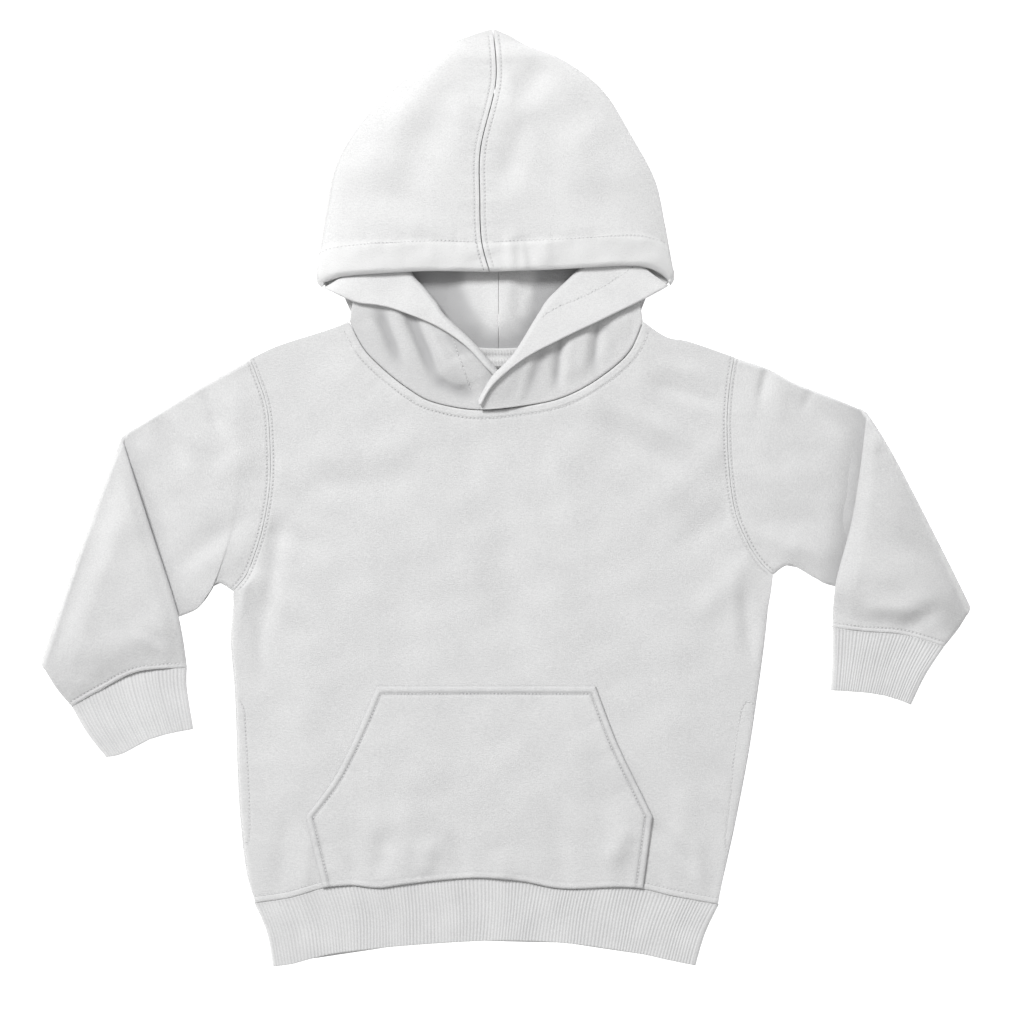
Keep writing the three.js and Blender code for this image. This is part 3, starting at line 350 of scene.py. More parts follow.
class Region:
    """A flat region between four lines. start and end run with u, low and high run with v."""

    def __init__(self, start, end, low, high):
        self.start, self.end, self.low, self.high = start, end, low, high

    def at(self, u, v):
        u, v = np.broadcast_arrays(np.asarray(u, float), np.asarray(v, float))
        across, down = u[..., None], v[..., None]
        sides = (
            self.start.at(u) * (1 - down) + self.end.at(u) * down
            + self.low.at(v) * (1 - across) + self.high.at(v) * across
        )
        corners = (
            self.start.at(0) * (1 - across) * (1 - down) + self.start.at(1) * across * (1 - down)
            + self.end.at(0) * (1 - across) * down + self.end.at(1) * across * down
        )
        return sides - corners

    def width(self, v):
        return np.linalg.norm(self.at(1, v) - self.at(0, v), axis=-1)


# Distances from a sewn edge at which a cloth has points
EDGE_STEPS = np.array([0, 0.12, 0.35, 0.7, 1.2, 1.8, 2.5, 3.2, 4, 4.8, 5.6, 6.5, 7.6, 9])


def stations(width, count, first=EDGE_STEPS, last=EDGE_STEPS):
    """Distances across cloths of these widths, close together near their edges."""
    width = np.atleast_1d(np.asarray(width, float))[:, None]
    shrink = np.minimum(1, 0.42 * width / max(first[-1], last[-1], 1e-6))
    near, far = first * shrink, width - last[::-1] * shrink
    middle = mix(near[:, -1:], far[:, :1], np.linspace(0, 1, count + 2)[1:-1])
    return np.hstack([near, middle, far])


NO_EDGE = np.array([0.0])


# Meshes

def grid_quads(index):
    return np.stack([index[:-1, :-1], index[:-1, 1:], index[1:, 1:], index[1:, :-1]], -1).reshape(-1, 4)


def edge_faces(fine, coarse, picks, flip):
    """Triangles that join a fine edge to a coarse one. picks says where in the fine edge each coarse point lies."""
    faces = []
    for a, b, low, high in zip(picks, picks[1:], coarse, coarse[1:]):
        middle = (a + b) // 2
        faces += [(fine[i], fine[i + 1], low) for i in range(a, middle)]
        faces.append((fine[middle], high, low))
        faces += [(fine[i], fine[i + 1], high) for i in range(middle, b)]
    return [face[::-1] for face in faces] if flip else faces


def cloth_object(name, shown, hidden, thin=6, tube=False, facts=None):
    """A closed wall of cloth: a fine grid of points for the side that shows and a coarser one for the other side.
    facts are values at the fine grid's points, which the finishes read."""
    rows, columns = shown.shape[:2]
    row_picks = sorted({*range(0, rows, thin), rows - 1})
    column_picks = sorted({*range(0, columns, thin), columns - (0 if tube else 1)})
    wrapped = [pick % columns for pick in column_picks]
    index = np.arange(rows * columns).reshape(rows, columns)
    kept_columns = wrapped[:-1] if tube else wrapped
    coarse = hidden[np.ix_(row_picks, kept_columns)]
    coarse_index = rows * columns + np.arange(coarse.shape[0] * coarse.shape[1]).reshape(coarse.shape[:2])
    if tube:
        index = np.hstack([index, index[:, :1]])
        coarse_index = np.hstack([coarse_index, coarse_index[:, :1]])
    faces = grid_quads(index).tolist() + grid_quads(coarse_index)[:, ::-1].tolist()
    faces += edge_faces(index[0], coarse_index[0], column_picks, True)
    faces += edge_faces(index[-1], coarse_index[-1], column_picks, False)
    if not tube:
        faces += edge_faces(index[:, 0], coarse_index[:, 0], row_picks, False)
        faces += edge_faces(index[:, -1], coarse_index[:, -1], row_picks, True)
    points = np.vstack([shown.reshape(-1, 3), coarse.reshape(-1, 3)])
    corner = np.array([face[:3] for face in faces])
    a, b, c = (points[corner[:, i]] for i in range(3))
    volume = np.einsum("ij,ij->i", a, np.cross(b, c)).sum()
    fourth = np.array([face for face in faces if len(face) == 4])
    a, b, c = (points[fourth[:, i]] for i in (0, 2, 3))
    volume += np.einsum("ij,ij->i", a, np.cross(b, c)).sum()
    if volume < 0:
        faces = [face[::-1] for face in faces]
    mesh = bpy.data.meshes.new(name)
    mesh.from_pydata((points * MM).tolist(), [], [[int(i) for i in face] for face in faces])
    for label, values in (facts or {}).items():
        kept = values[np.ix_(row_picks, kept_columns)]
        everything = np.vstack([values.reshape(-1, 3), kept.reshape(-1, 3)])
        layer = mesh.attributes.new(label, "FLOAT_VECTOR", "POINT")
        layer.data.foreach_set("vector", everything.astype(np.float32).ravel())
    mesh.polygons.foreach_set("use_smooth", [True] * len(mesh.polygons))
    mesh.update()
    made = bpy.data.objects.new(name, mesh)
    bpy.context.scene.collection.objects.link(made)
    return made


def facts_at(plan, lines):
    """What the finishes read: where a point lies in the knit, and how near it is to a line of stitches, with a third
    value, 0 here, that callers set to painted light (above 0) or painted shade (below 0).
    """
    knit = np.stack(np.broadcast_arrays(plan[..., 0], plan[..., 1], 0.0), -1)
    distance, along = np.full(plan.shape[:-1], 50.0), np.zeros(plan.shape[:-1])
    for line in lines:
        gap, place = line.near(plan)
        closer = gap < distance
        distance, along = np.where(closer, gap, distance), np.where(closer, place, along)
    return {"knit": knit, "sewn": np.stack([np.minimum(distance, 50.0), along, np.zeros_like(along)], -1)}


def welt(distance, stitched, height=WELT):
    """Raised strip of doubled cloth between a seam and the stitching beside it."""
    return height * soft_step(distance / 1.1) * soft_step((stitched - distance) / 1.3)


def sewn_relief(facts, depth=0.2, width=0.6, pucker=0.1, pitch=11.0, reach=6.0):
    """Groove of a stitched line and the puckers beside it."""
    distance, along = facts["sewn"][..., 0], facts["sewn"][..., 1]
    groove = -depth * np.exp(-((distance / width) ** 2))
    swing = np.sin(2 * math.pi * along / pitch + 1.7 * np.sin(along / 23.0)) + 0.6 * np.sin(2 * math.pi * along / (pitch * 0.58))
    return groove + pucker * swing * np.exp(-distance / reach) * (1 - np.exp(-((distance / 1.5) ** 2)) * 0.5)


# Finishes

# Grey that the cloth's colour is mixed towards as painted shade
PAINTED_SHADE_GREY = (0.40, 0.40, 0.405)


class Value:
    """A shader value. An expression on values adds its Math nodes."""

    def __init__(self, finish, socket):
        self.finish, self.socket = finish, socket

    def maths(self, operation, *others):
        inputs = dict(enumerate((self, *others)))
        return self.finish.node("ShaderNodeMath", {"operation": operation}, inputs).value()

    def __add__(self, other):
        return self.maths("ADD", other)

    def __sub__(self, other):
        return self.maths("SUBTRACT", other)

    def __rsub__(self, other):
        return (self * -1.0).maths("ADD", other)

    def __mul__(self, other):
        return self.maths("MULTIPLY", other)

    __radd__, __rmul__ = __add__, __mul__

    def sine(self):
        return self.maths("SINE")

    def size(self):
        return self.maths("ABSOLUTE")

    def power(self, exponent):
        return self.maths("POWER", exponent)

    def within(self, low, high):
        """0 at low, 1 at high, and smooth between."""
        settings = {"interpolation_type": "SMOOTHSTEP"}
        return self.finish.node("ShaderNodeMapRange", settings, {"Value": self, "From Min": low, "From Max": high}).value()


class Made:
    """A node that a finish has made."""

    def __init__(self, finish, node):
        self.finish, self.node = finish, node

    def value(self, output=0):
        return Value(self.finish, self.node.outputs[output])


class Finish:
    """A material built from nodes."""

    def __init__(self, name):
        self.material = bpy.data.materials.new(name)
        self.material.use_nodes = True
        self.tree = self.material.node_tree
        self.tree.nodes.clear()

    def node(self, kind, settings=None, inputs=None):
        node = self.tree.nodes.new(kind)
        for name, setting in (settings or {}).items():
            setattr(node, name, setting)
        for name, given in (inputs or {}).items():
            if isinstance(given, Value):
                self.tree.links.new(given.socket, node.inputs[name])
            else:
                node.inputs[name].default_value = given
        return Made(self, node)

    def attribute(self, name):
        vector = self.node("ShaderNodeAttribute", {"attribute_name": name}).value("Vector")
        split = self.node("ShaderNodeSeparateXYZ", None, {0: vector})
        return vector, split.value("X"), split.value("Y"), split.value("Z")

    def noise(self, scale, detail=2.0, vector=None, stretch=(1, 1, 1)):
        """Noise on the object's own coordinates, or on others. scale is in spots a metre."""
        if vector is None:
            vector = self.node("ShaderNodeTexCoord").value("Object")
        placed = self.node("ShaderNodeMapping", None, {"Vector": vector, "Scale": stretch}).value()
        inputs = {"Vector": placed, "Scale": scale, "Detail": detail, "Roughness": 0.6}
        return self.node("ShaderNodeTexNoise", None, inputs).value()

    def finish(self, dark, light, tone, height, lift, roughness=0.95, sheen=0.2, strength=0.5, painted_shadow=0.0):
        """Colour from dark to light by tone and darkened towards a grey by painted shade, relief from height, as cloth.
        """
        settings = {"data_type": "RGBA", "clamp_factor": True}
        colour = self.node("ShaderNodeMix", settings, {0: tone, 6: (*dark, 1), 7: (*light, 1)}).value(2)
        colour = self.node("ShaderNodeMix", settings, {0: painted_shadow, 6: colour, 7: (*PAINTED_SHADE_GREY, 1)}).value(2)
        bump = self.node("ShaderNodeBump", None, {"Strength": strength, "Distance": lift, "Height": height}).value("Normal")
        shader = self.node(
            "ShaderNodeBsdfPrincipled", None,
            {
                "Base Color": colour, "Roughness": roughness, "Normal": bump, "Sheen Weight": sheen,
                "Sheen Roughness": 0.6, "Specular IOR Level": 0.25,
            },
        ).value("BSDF")
        self.node("ShaderNodeOutputMaterial", None, {"Surface": shader})
        return self.material


def fleece_finish(name, dark, light, wale=0.85, course=0.72):
    """Brushed sweatshirt cloth: a fine knit face with a soft fuzz, painted shade in a dotted line of needle holes along
    the stitching, and painted light and shade from the sewn attribute's third value.
    """
    made = Finish(name)
    knit, across, down, _ = made.attribute("knit")
    _, seam_distance, seam_along, shade = made.attribute("sewn")
    fuzz = made.noise(1150.0, 3.0)
    cloud = made.noise(42.0, 2.0)
    rows = made.noise(1.1, 2.0, knit, (0.28, 1.25, 1.0))
    sway = (down * (2 * math.pi / course)).sine()
    loops = (across * (2 * math.pi / wale) + sway * 0.55).sine().size()
    # Painted shade: a grey line along each stitched line, darker at the needle holes
    line = 1.0 - seam_distance.within(0.1, 0.75)
    holes = ((seam_along * (2 * math.pi / STITCH_PITCH)).sine() * 0.5 + 0.5).power(2.0)
    # Painted shade where the sewn attribute's third value is below 0; that value also lightens or darkens the tone as
    # painted light and shade
    hollow = 1.0 - shade.within(-1.0, -0.05)
    painted_shadow = line * (0.2 + holes * 0.75) + hollow * 0.8
    tone = 0.5 + (fuzz - 0.5) * 2.4 + (cloud - 0.5) * 0.9 + (rows - 0.5) * 1.3 + (loops - 0.6) * 0.2 + shade
    height = loops * 0.4 + fuzz * 1.5 + rows * 0.7 - painted_shadow * 1.4
    return made.finish(dark, light, tone, height, 0.0003, strength=0.7, painted_shadow=painted_shadow)


def rib_finish(name, dark, light):
    """Ribbed knit: columns of loops along each rib, painted darker in its grooves and along its seam as shade."""
    made = Finish(name)
    _, across, down, _ = made.attribute("knit")
    _, _, groove, _ = made.attribute("rib")
    fuzz = made.noise(1150.0, 3.0)
    cloud = made.noise(45.0, 2.0)
    loops = ((down * (2 * math.pi / 0.8)) + (across * 3.0).sine() * 0.8).sine() * 0.5 + 0.5
    # Painted shade: the tone darkens in the rib grooves and along the seam
    tone = 0.56 + (fuzz - 0.5) * 1.6 + (cloud - 0.5) * 0.7 + (loops - 0.5) * 0.15 - groove * 0.45
    height = loops * 0.5 + fuzz * 0.7
    return made.finish(dark, light, tone, height, 0.0002)


def thread_finish(name, dark, light):
    """Spun thread with a twist."""
    made = Finish(name)
    twist = made.noise(2600.0, 1.0)
    return made.finish(dark, light, twist, twist, 0.0001, roughness=0.7, sheen=0.1)


FLEECE = fleece_finish("white_fleece", (0.655, 0.655, 0.657), (0.765, 0.765, 0.764))
LINING = fleece_finish("hood_lining_jersey", (0.70, 0.70, 0.702), (0.80, 0.80, 0.799), wale=0.95, course=0.8)
RIB = rib_finish("ribbed_knit", (0.60, 0.60, 0.602), (0.77, 0.77, 0.769))
THREAD = thread_finish("sewing_thread", (0.60, 0.60, 0.602), (0.76, 0.76, 0.758))
OVERLOCK = thread_finish("overlock_thread", (0.56, 0.56, 0.562), (0.74, 0.74, 0.738))


def dress(piece, node, material):
    """Gives a piece its finish and lets it stand for its CAD node."""
    piece.data.materials.append(material)
    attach(piece, "root")
    if node:
        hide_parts(node)
    return piece


# Camera, looking straight down as the photo does

def make_camera():
    camera = bpy.data.cameras.new("camera")
    camera.lens, camera.sensor_width = 147.4, 36.0
    camera.clip_start, camera.clip_end = 0.1, 20.0
    holder = bpy.data.objects.new("camera", camera)
    holder.location = (4.3 * MM, -9.0 * MM, 2.6)
    bpy.context.scene.collection.objects.link(holder)
    bpy.context.scene.camera = holder


make_camera()

# Body

neck_curve = Curve(FRONT_NECK)
hem_seam = Curve(HEM_SEAM)
armhole_curves = {side: Curve(points) for side, points in ARMHOLES.items()}
front_region = Region(
    Curve(SHOULDER_LEFT, FRONT_NECK, SHOULDER_RIGHT), hem_seam,
    Curve(ARMHOLES["left"], SIDES["left"]), Curve(ARMHOLES["right"], SIDES["right"]),
)


def peeking(side, outward):
    """The back panel's side, a little outside the front's."""
    run = SIDES[side]
    return [(x + (outward if 0 < i < len(run) - 1 else 0), y) for i, (x, y) in enumerate(run)]


back_region = Region(
    Curve(SHOULDER_LEFT, BACK_NECK, SHOULDER_RIGHT), hem_seam,
    Curve(ARMHOLES["left"], peeking("left", -BACK_PEEK["left"])), Curve(ARMHOLES["right"], peeking("right", BACK_PEEK["right"])),
)

neck_line = neck_curve.beside(-NECK_STITCH, 0.02, 0.98)
hem_line = hem_seam.beside(HEM_STITCH, 0.005, 0.995)
body_armhole_lines = {
    "left": armhole_curves["left"].beside(ARMHOLE_STITCH, 0.01, 0.985),
    "right": armhole_curves["right"].beside(-ARMHOLE_STITCH, 0.01, 0.985),
}
side_lines = {
    "left": Curve([(-167.4, -122.5), (-162.4, -128.7), (-160.6, -141.7), (-158.1, -195), (-158.7, -212.4), (-160.6, -214.2)]),
    "right": Curve([(154, -128), (147.6, -128.7), (142.6, -152.2), (139.5, -184.5), (136.4, -209.9), (137, -218.6)]),
}
body_lines = [neck_line, hem_line, *body_armhole_lines.values(), *side_lines.values()]


def below_armhole(v):
    return soft_step((v - 0.43) / 0.05)


def front_underside(plan, u, v):
    from_side = np.minimum(u, 1 - u) * 2
    from_end = np.minimum(v, 1 - v) * 2
    opened = soft_step(from_side / 0.35) * soft_step(from_end / 0.3)
    at_neck = NECK_LOFT * soft_step(1 - neck_curve.near(plan)[0] / NECK_LOFT_REACH)
    folds = (fold_height(BODY_FOLDS, plan) * 1.5 + fold_height(BODY_CREASES, plan) * 1.25) * soft_step(from_side / 0.05)
    return CLOTH + SEAM_GAP + mix(EDGE_LOFT, BODY_LOFT, opened) + at_neck + folds


def region_grid(region, columns, rows, inset, side_inset=0.0):
    """Points over a region, close together near its edges, with their fractions and edge distances.
    side_inset is how much further in the sides lie below the armholes."""
    height = np.linalg.norm(region.at(0.5, 1) - region.at(0.5, 0))
    v = (inset + stations(height - 2 * inset, rows)[0]) / height
    width = region.width(v)
    in_from_side = (inset + side_inset * below_armhole(v))[:, None]
    across = in_from_side + stations(width - 2 * in_from_side[:, 0], columns)
    u = across / width[:, None]
    v = np.broadcast_to(v[:, None], u.shape)
    plan = region.at(u, v)
    from_side = np.minimum(across, width[:, None] - across) - in_from_side
    from_end = np.minimum(v, 1 - v) * height - inset
    return plan, u, v, from_side, from_end


def wall_points(plan, height):
    return np.concatenate([plan, np.broadcast_to(height, plan.shape[:-1])[..., None]], -1)


def make_front_panel():
    plan, u, v, from_side, from_end = region_grid(front_region, 170, 170, SEAM, SIDE_INSET)
    under = front_underside(plan, u, v) + uneven(plan, 0.2) * soft_step(from_side / 20)
    facts = facts_at(plan, body_lines)
    open_side = below_armhole(v)
    drop = np.maximum(roll(from_side, *SEAM_ROLL) * (1 - open_side), roll(from_side, 3.0, 1.0) * open_side)
    drop = np.maximum(drop, roll(from_end, *SEAM_ROLL))
    top = under + CLOTH + sewn_relief(facts) - drop
    top += welt(neck_curve.near(plan)[0], NECK_STITCH) + welt(hem_seam.near(plan)[0], HEM_STITCH)
    bottom = np.maximum(under - drop * 0.45, CLOTH + 0.1)
    drawn_in = front_region.at(mix(0.5, u, 0.995), mix(0.5, v, 0.996))
    return cloth_object("front_panel_cloth", wall_points(plan, top), wall_points(drawn_in, bottom), facts=facts)


def make_back_panel():
    plan, _, _, from_side, from_end = region_grid(back_region, 120, 60, 0.9)
    facts = facts_at(plan, [])
    edge = np.minimum(from_side, from_end)
    top = CLOTH - roll(edge, 1.0, 0.9)
    bottom = roll(edge, 1.0, 0.9)
    return cloth_object("back_panel_cloth", wall_points(plan, top), wall_points(plan, bottom), 3, facts=facts)


def front_top_at(plan):
    """Height of the front panel's top at points in plan."""
    u, v = np.full(plan.shape[:-1], 0.5), np.full(plan.shape[:-1], 0.5)
    step = 1e-3
    for _ in range(12):
        here = front_region.at(u, v)
        along_u = (front_region.at(u + step, v) - here) / step
        along_v = (front_region.at(u, v + step) - here) / step
        miss = plan - here
        area = along_u[..., 0] * along_v[..., 1] - along_u[..., 1] * along_v[..., 0]
        u = np.clip(u + (miss[..., 0] * along_v[..., 1] - miss[..., 1] * along_v[..., 0]) / area, 0.001, 0.998)
        v = np.clip(v + (along_u[..., 0] * miss[..., 1] - along_u[..., 1] * miss[..., 0]) / area, 0.001, 0.998)
    return front_underside(plan, u, v) + CLOTH + uneven(plan, 0.2)


# Kangaroo pocket

def pocket_outline():
    bottom = [(x, y + SEAM_GAP) for x, y in HEM_SEAM if -114 < x < 86]
    return {
        "top": Curve(POCKET["top"]), "bottom": Curve(bottom),
        "left": Curve(POCKET["left"], [POCKET["left"][-1], bottom[0]]),
        "right": Curve(POCKET["right"], [POCKET["right"][-1], bottom[-1]]),
    }


pocket = pocket_outline()
pocket_lines = {"top": Curve([(-74.5, -121.6), (51.2, -121.6)])}
for side, inward in (("left", POCKET_HEM), ("right", -POCKET_HEM)):
    slant, low = Curve(POCKET[side]), Curve([pocket[side].at(0.63), pocket[side].at(1)])
    pocket_lines[side + "_slant"] = slant.beside(inward, 0.05, 0.98)
    pocket_lines[side + "_side"] = Curve([slant.beside(inward, 0.5, 0.98).at(1), low.beside(inward).at(0.93)])


def make_pocket():
    region = Region(pocket["top"], pocket["bottom"], pocket["left"], pocket["right"])
    plan, u, v, from_side, from_end = region_grid(region, 100, 90, 0.2)
    facts = facts_at(plan, list(pocket_lines.values()))
    from_edge = np.minimum(from_side, v * 124)
    under = front_top_at(plan) + 2 * SEAM_GAP
    hem = 0.18 * soft_step((POCKET_HEM + 0.4 - from_edge) / 2.0)
    # Painted shade: soft grey lines along the hem's stitching and along the pocket's edge
    facts["sewn"][..., 2] = -0.5 * np.exp(-(((from_edge - POCKET_HEM) / 1.4) ** 2)) - 0.35 * np.exp(-((from_edge / 1.3) ** 2))
    edge = np.minimum(from_edge, from_end * 1.5)
    relief = sewn_relief(facts, depth=0.3, width=1.1)
    top = under + POCKET_CLOTH + hem - roll(edge, 1.8, 1.2) + relief + sewn_relief(facts_at(plan, body_lines[1:2]))
    return cloth_object("pocket_cloth", wall_points(plan, top), wall_points(plan, under), facts=facts)


# Hem band and cuffs

def flat_tube(width, half, margin, top, bottom_count, side_degrees):
    """A flattened tube's ring: distance across, and height off its middle, for each point round it.
    top is where the points of its upper side lie, as fractions across."""
    inset = margin + half
    angles = np.radians(side_degrees)
    above = mix(inset, width - inset, top)
    below = np.linspace(width - inset, inset, bottom_count)
    across = np.concatenate([
        above, width - inset + half * np.cos(angles), below, inset - half * np.cos(angles[::-1]),
    ])
    height = np.concatenate([
        np.full(len(above), half), half * np.sin(angles), np.full(len(below), -half), half * np.sin(angles[::-1]),
    ])
    return across, height


SIDE_ANGLES = [75, 60, 45, 30, 15, 0, -15, -30, -45, -60, -75]


def make_ribbed(name, region, ribs, sway):
    """A ribbed, flattened tube that rests on the table."""
    length = np.linalg.norm(region.at(0.5, 1) - region.at(0.5, 0))
    from_seam = mix(0.0005, 0.997, stations(length, 22)[0] / length)
    top = np.linspace(0, 1, ribs * 8 + 1)
    rows, inner_rows, knit, rib = [], [], [], []
    for v in from_seam:
        width = float(region.width(v))
        across, height = flat_tube(width, TUBE_HALF, 0, top, 40, SIDE_ANGLES)
        u = across / width
        plan = region.at(u, v)
        phase = u * ribs + sway * np.sin(u * 19 + v * 2.1) + sway * 0.6 * np.sin(u * 47 - v * 1.3)
        depth = 1 + 0.3 * np.sin(u * 83 + 2.0) * np.sin(u * 31 + v * 1.7)
        groove = np.where(height >= TUBE_HALF - 1e-6, (0.5 - 0.5 * np.cos(2 * math.pi * phase)) ** 1.4, 0)
        edge = min(v - from_seam[0], from_seam[-1] - v) * length
        drop = roll(edge, 0.8, 0.5) + RIB_DEPTH * depth * groove * min(edge / 0.8 + 0.35, 1)
        swell = uneven(plan, 0.16) * (height > 0)
        rows.append(wall_points(plan, TUBE_HALF + height - drop * np.clip(height / TUBE_HALF, 0, 1) + swell))
        knit.append(np.stack([across, np.full_like(across, v * length), 0 * across], -1))
        # Painted shade: a dark line along the seam, added to the grooves for the rib finish's tone
        painted_seam_shade = 1.5 * math.exp(-(((v - from_seam[0]) * length / 1.0) ** 2))
        rib.append(np.stack([0 * across, groove * depth + painted_seam_shade, 0 * across], -1))
        inner_across, inner_height = flat_tube(width, TUBE_AIR, CLOTH, top, 40, SIDE_ANGLES)
        inner_rows.append(wall_points(region.at(inner_across / width, v), TUBE_HALF + inner_height))
    facts = {"knit": np.array(knit), "rib": np.array(rib)}
    return cloth_object(name, np.array(rows), np.array(inner_rows), 8, tube=True, facts=facts)


def make_hem():
    region = Region(hem_seam, Curve(HEM_BOTTOM), Curve(HEM_SIDES["left"]), Curve(HEM_SIDES["right"]))
    return make_ribbed("hem_band", region, HEM_RIBS, 0.35)


def make_cuff(side):
    lines = {name: Curve(points) for name, points in SLEEVES[side].items()}
    region = Region(lines["cuff_seam"], lines["cuff_bottom"], lines["cuff_inner"], lines["cuff_outer"])
    return make_ribbed("cuff_band_" + side, region, CUFF_RIBS, 0.12)


# Sleeves

# Where the points of a sleeve's upper side lie across it, and how it is squeezed: at the crease, at the crease's
# corners, and along the forearm's inner edge
SLEEVE_TOP = stations(150, 70, np.array([0, 0.5, 1.2, 2.2, 3.5, 5]), np.array([0, 0.5, 1.2, 2.2, 3.5, 5]))[0] / 150
CREASE_SQUEEZE = 0.26
CORNER_SQUEEZE = 0.22
# How dark the upper sleeve is painted beside the forearm's inner edge, as the fold's shade
FOLD_SHADE = {"left": 0.3, "right": 0.5}
INNER_EDGE_RISE = {"left": -0.5, "right": -0.3}


def make_sleeve(side):
    """One flattened tube. It runs out to the crease, turns up and over, and comes back as the forearm."""
    lines = {name: Curve(points) for name, points in SLEEVES[side].items()}
    crease, armhole = lines["crease"], armhole_curves[side]
    upper = Region(armhole, crease, lines["overarm"], lines["underarm"])
    fore = Region(crease, lines["cuff_seam"], lines["inner_forearm"], lines["lower_forearm"])
    reach = SLEEVE_FOLD_RADIUS + TUBE_HALF
    underarm = lines["underarm"].at(np.linspace(0, 1, 90))

    def fore_middle(plan):
        gaps = np.linalg.norm(plan[:, None] - underarm[None], axis=-1)
        past = underarm[gaps.argmin(1), 1] - plan[:, 1]
        return TUBE_HALF + 2 * SLEEVE_FOLD_RADIUS * (1 - soft_step((past + 2) / FOREARM_DRAPE[side]))

    def layer(region, u, along):
        """A layer's points in plan, from beside its seam to where the bend begins, with their distance from the seam."""
        length = np.linalg.norm(region.at(u, 1) - region.at(u, 0), axis=-1)
        from_seam = mix(SEAM, length - reach, along)
        return region.at(u, (from_seam if region is upper else length - from_seam) / length), from_seam

    upper_length = float(np.linalg.norm(upper.at(0.5, 1) - upper.at(0.5, 0))) - reach
    fore_length = float(np.linalg.norm(fore.at(0.5, 1) - fore.at(0.5, 0))) - reach
    upper_along = stations(upper_length, 52, last=NO_EDGE)[0] / upper_length
    fore_along = stations(fore_length, 58, last=NO_EDGE)[0] / fore_length
    rows = [(upper, along, 0.0) for along in upper_along]
    rows += [(None, 1.0, turn) for turn in np.linspace(0, math.pi, 17)[1:-1]]
    rows += [(fore, along, math.pi) for along in fore_along[::-1]]

    def ring(row, half, margin, shown):
        region, along, turn = row
        ends = crease.at([0, 1]) if region is None else layer(region, np.array([0.0, 1.0]), along)[0]
        width = float(np.linalg.norm(ends[1] - ends[0]))
        across, height = flat_tube(width, half, margin, SLEEVE_TOP, 60, SIDE_ANGLES)
        u = np.clip(across / width, 0, 1)
        from_seam = np.full(len(u), 60.0)
        if region is None:
            under, over = layer(upper, u, 1.0)[0], layer(fore, u, 1.0)[0]
            raised = (1 - math.cos(turn)) / 2
            out = crease.at(u) - (under + over) / 2
            push = math.sin(turn) * (SLEEVE_FOLD_RADIUS - height) / reach
            plan = mix(under, over, raised) + out * push[:, None]
            middle = mix(TUBE_HALF, fore_middle(over), raised)
            folded = raised
        else:
            plan, from_seam = layer(region, u, along)
            middle = np.full(len(u), TUBE_HALF) if region is upper else fore_middle(plan)
            folded = 0.0 if region is upper else 1.0
        inner_edge = INNER_EDGE_RISE[side] * (1 - soft_step(across / 13)) * folded
        z = middle - half + (height * math.cos(turn) + half) * (1 + inner_edge)
        if shown and region is not None:
            facing = np.clip(height / half * math.cos(turn), 0, 1)
            dome = (1 - (2 * u - 1) ** 4) * soft_step(along / 0.25)
            if region is upper:
                loft = 1.3 * dome * (1 - soft_step((along - 0.36) / 0.3))
                relief = 1.2 * fold_height(UPPER_SLEEVE_FOLDS, plan) * (1 - soft_step((along - 0.72) / 0.28)) + loft
            else:
                loft = 1.5 * dome * soft_step((1 - along) / 0.3)
                relief = 1.2 * fold_height(FOREARM_FOLDS, plan) + loft
            relief = relief + uneven(plan, 0.2) * (1 - soft_step((along - 0.8) / 0.2))
            raised_strip = 0.0 if region is upper else welt(from_seam, CUFF_STITCH)
            relief = relief - roll(from_seam, *SEAM_ROLL) + raised_strip
            z = z + relief * facing
        from_crease = crease.near(plan)[0]
        from_corner = np.minimum(*(np.linalg.norm(plan - crease.at(end), axis=-1) for end in (0.0, 1.0)))
        z = z * (1 - CREASE_SQUEEZE * (1 - soft_step(from_crease / 22)))
        z = z * (1 - CORNER_SQUEEZE * (1 - soft_step(from_corner / 24)))
        down = upper_length * 2 - from_seam if region is fore else from_seam
        return wall_points(plan, z), np.stack([across, down, 0 * u], -1)

    shown = [ring(row, TUBE_HALF, 0, True) for row in rows]
    hidden = [ring(row, TUBE_AIR, CLOTH, False)[0] for row in rows]
    points, knit = np.array([r[0] for r in shown]), np.array([r[1] for r in shown])
    turned = np.array([row[2] for row in rows])[:, None]
    sign = -1 if side == "left" else 1
    armhole_line = armhole.beside(sign * ARMHOLE_STITCH, 0.01, 0.985)
    cuff_line = lines["cuff_seam"].beside(sign * CUFF_STITCH, 0.02, 0.98)
    armhole_facts = facts_at(points[..., :2], [armhole_line])["sewn"]
    cuff_facts = facts_at(points[..., :2], [cuff_line])["sewn"]
    sewn = np.where((turned < 0.1)[..., None], armhole_facts, cuff_facts)
    sewn[..., 0] = np.where((turned > 0.1) & (turned < 3.1), 50, sewn[..., 0])
    # Painted shade: the upper sleeve darkens towards the forearm's inner edge, and that edge itself is dimmed where it
    # would catch light
    from_edge = lines["inner_forearm"].near(points[..., :2])[0]
    below = -FOLD_SHADE[side] * np.exp(-((from_edge / 11) ** 2))
    sewn[..., 2] = np.where(turned < 0.1, below, -0.35 * np.exp(-((from_edge / 1.8) ** 2)))
    facts = {"knit": knit, "sewn": sewn}
    top_count = len(SLEEVE_TOP)
    facing = np.zeros(points.shape[:2])
    facing[:, :top_count] = turned < 0.1
    facing[:, top_count + len(SIDE_ANGLES):top_count + len(SIDE_ANGLES) + 60] = turned > 3.1
    points[..., 2] += sewn_relief(facts) * facing
    made = cloth_object("sleeve_cloth_" + side, points, np.array(hidden), 6, tube=True, facts=facts)
    return made, armhole_line, cuff_line


# Hood

def crown_column(column, along):
    row = min(max(int(np.searchsorted(CROWN_RISE[:, 0], along)), 1), len(CROWN_RISE) - 1)
    low, high = CROWN_RISE[row - 1], CROWN_RISE[row]
    return mix(low[column], high[column], float(soft_step((along - low[0]) / (high[0] - low[0]))))


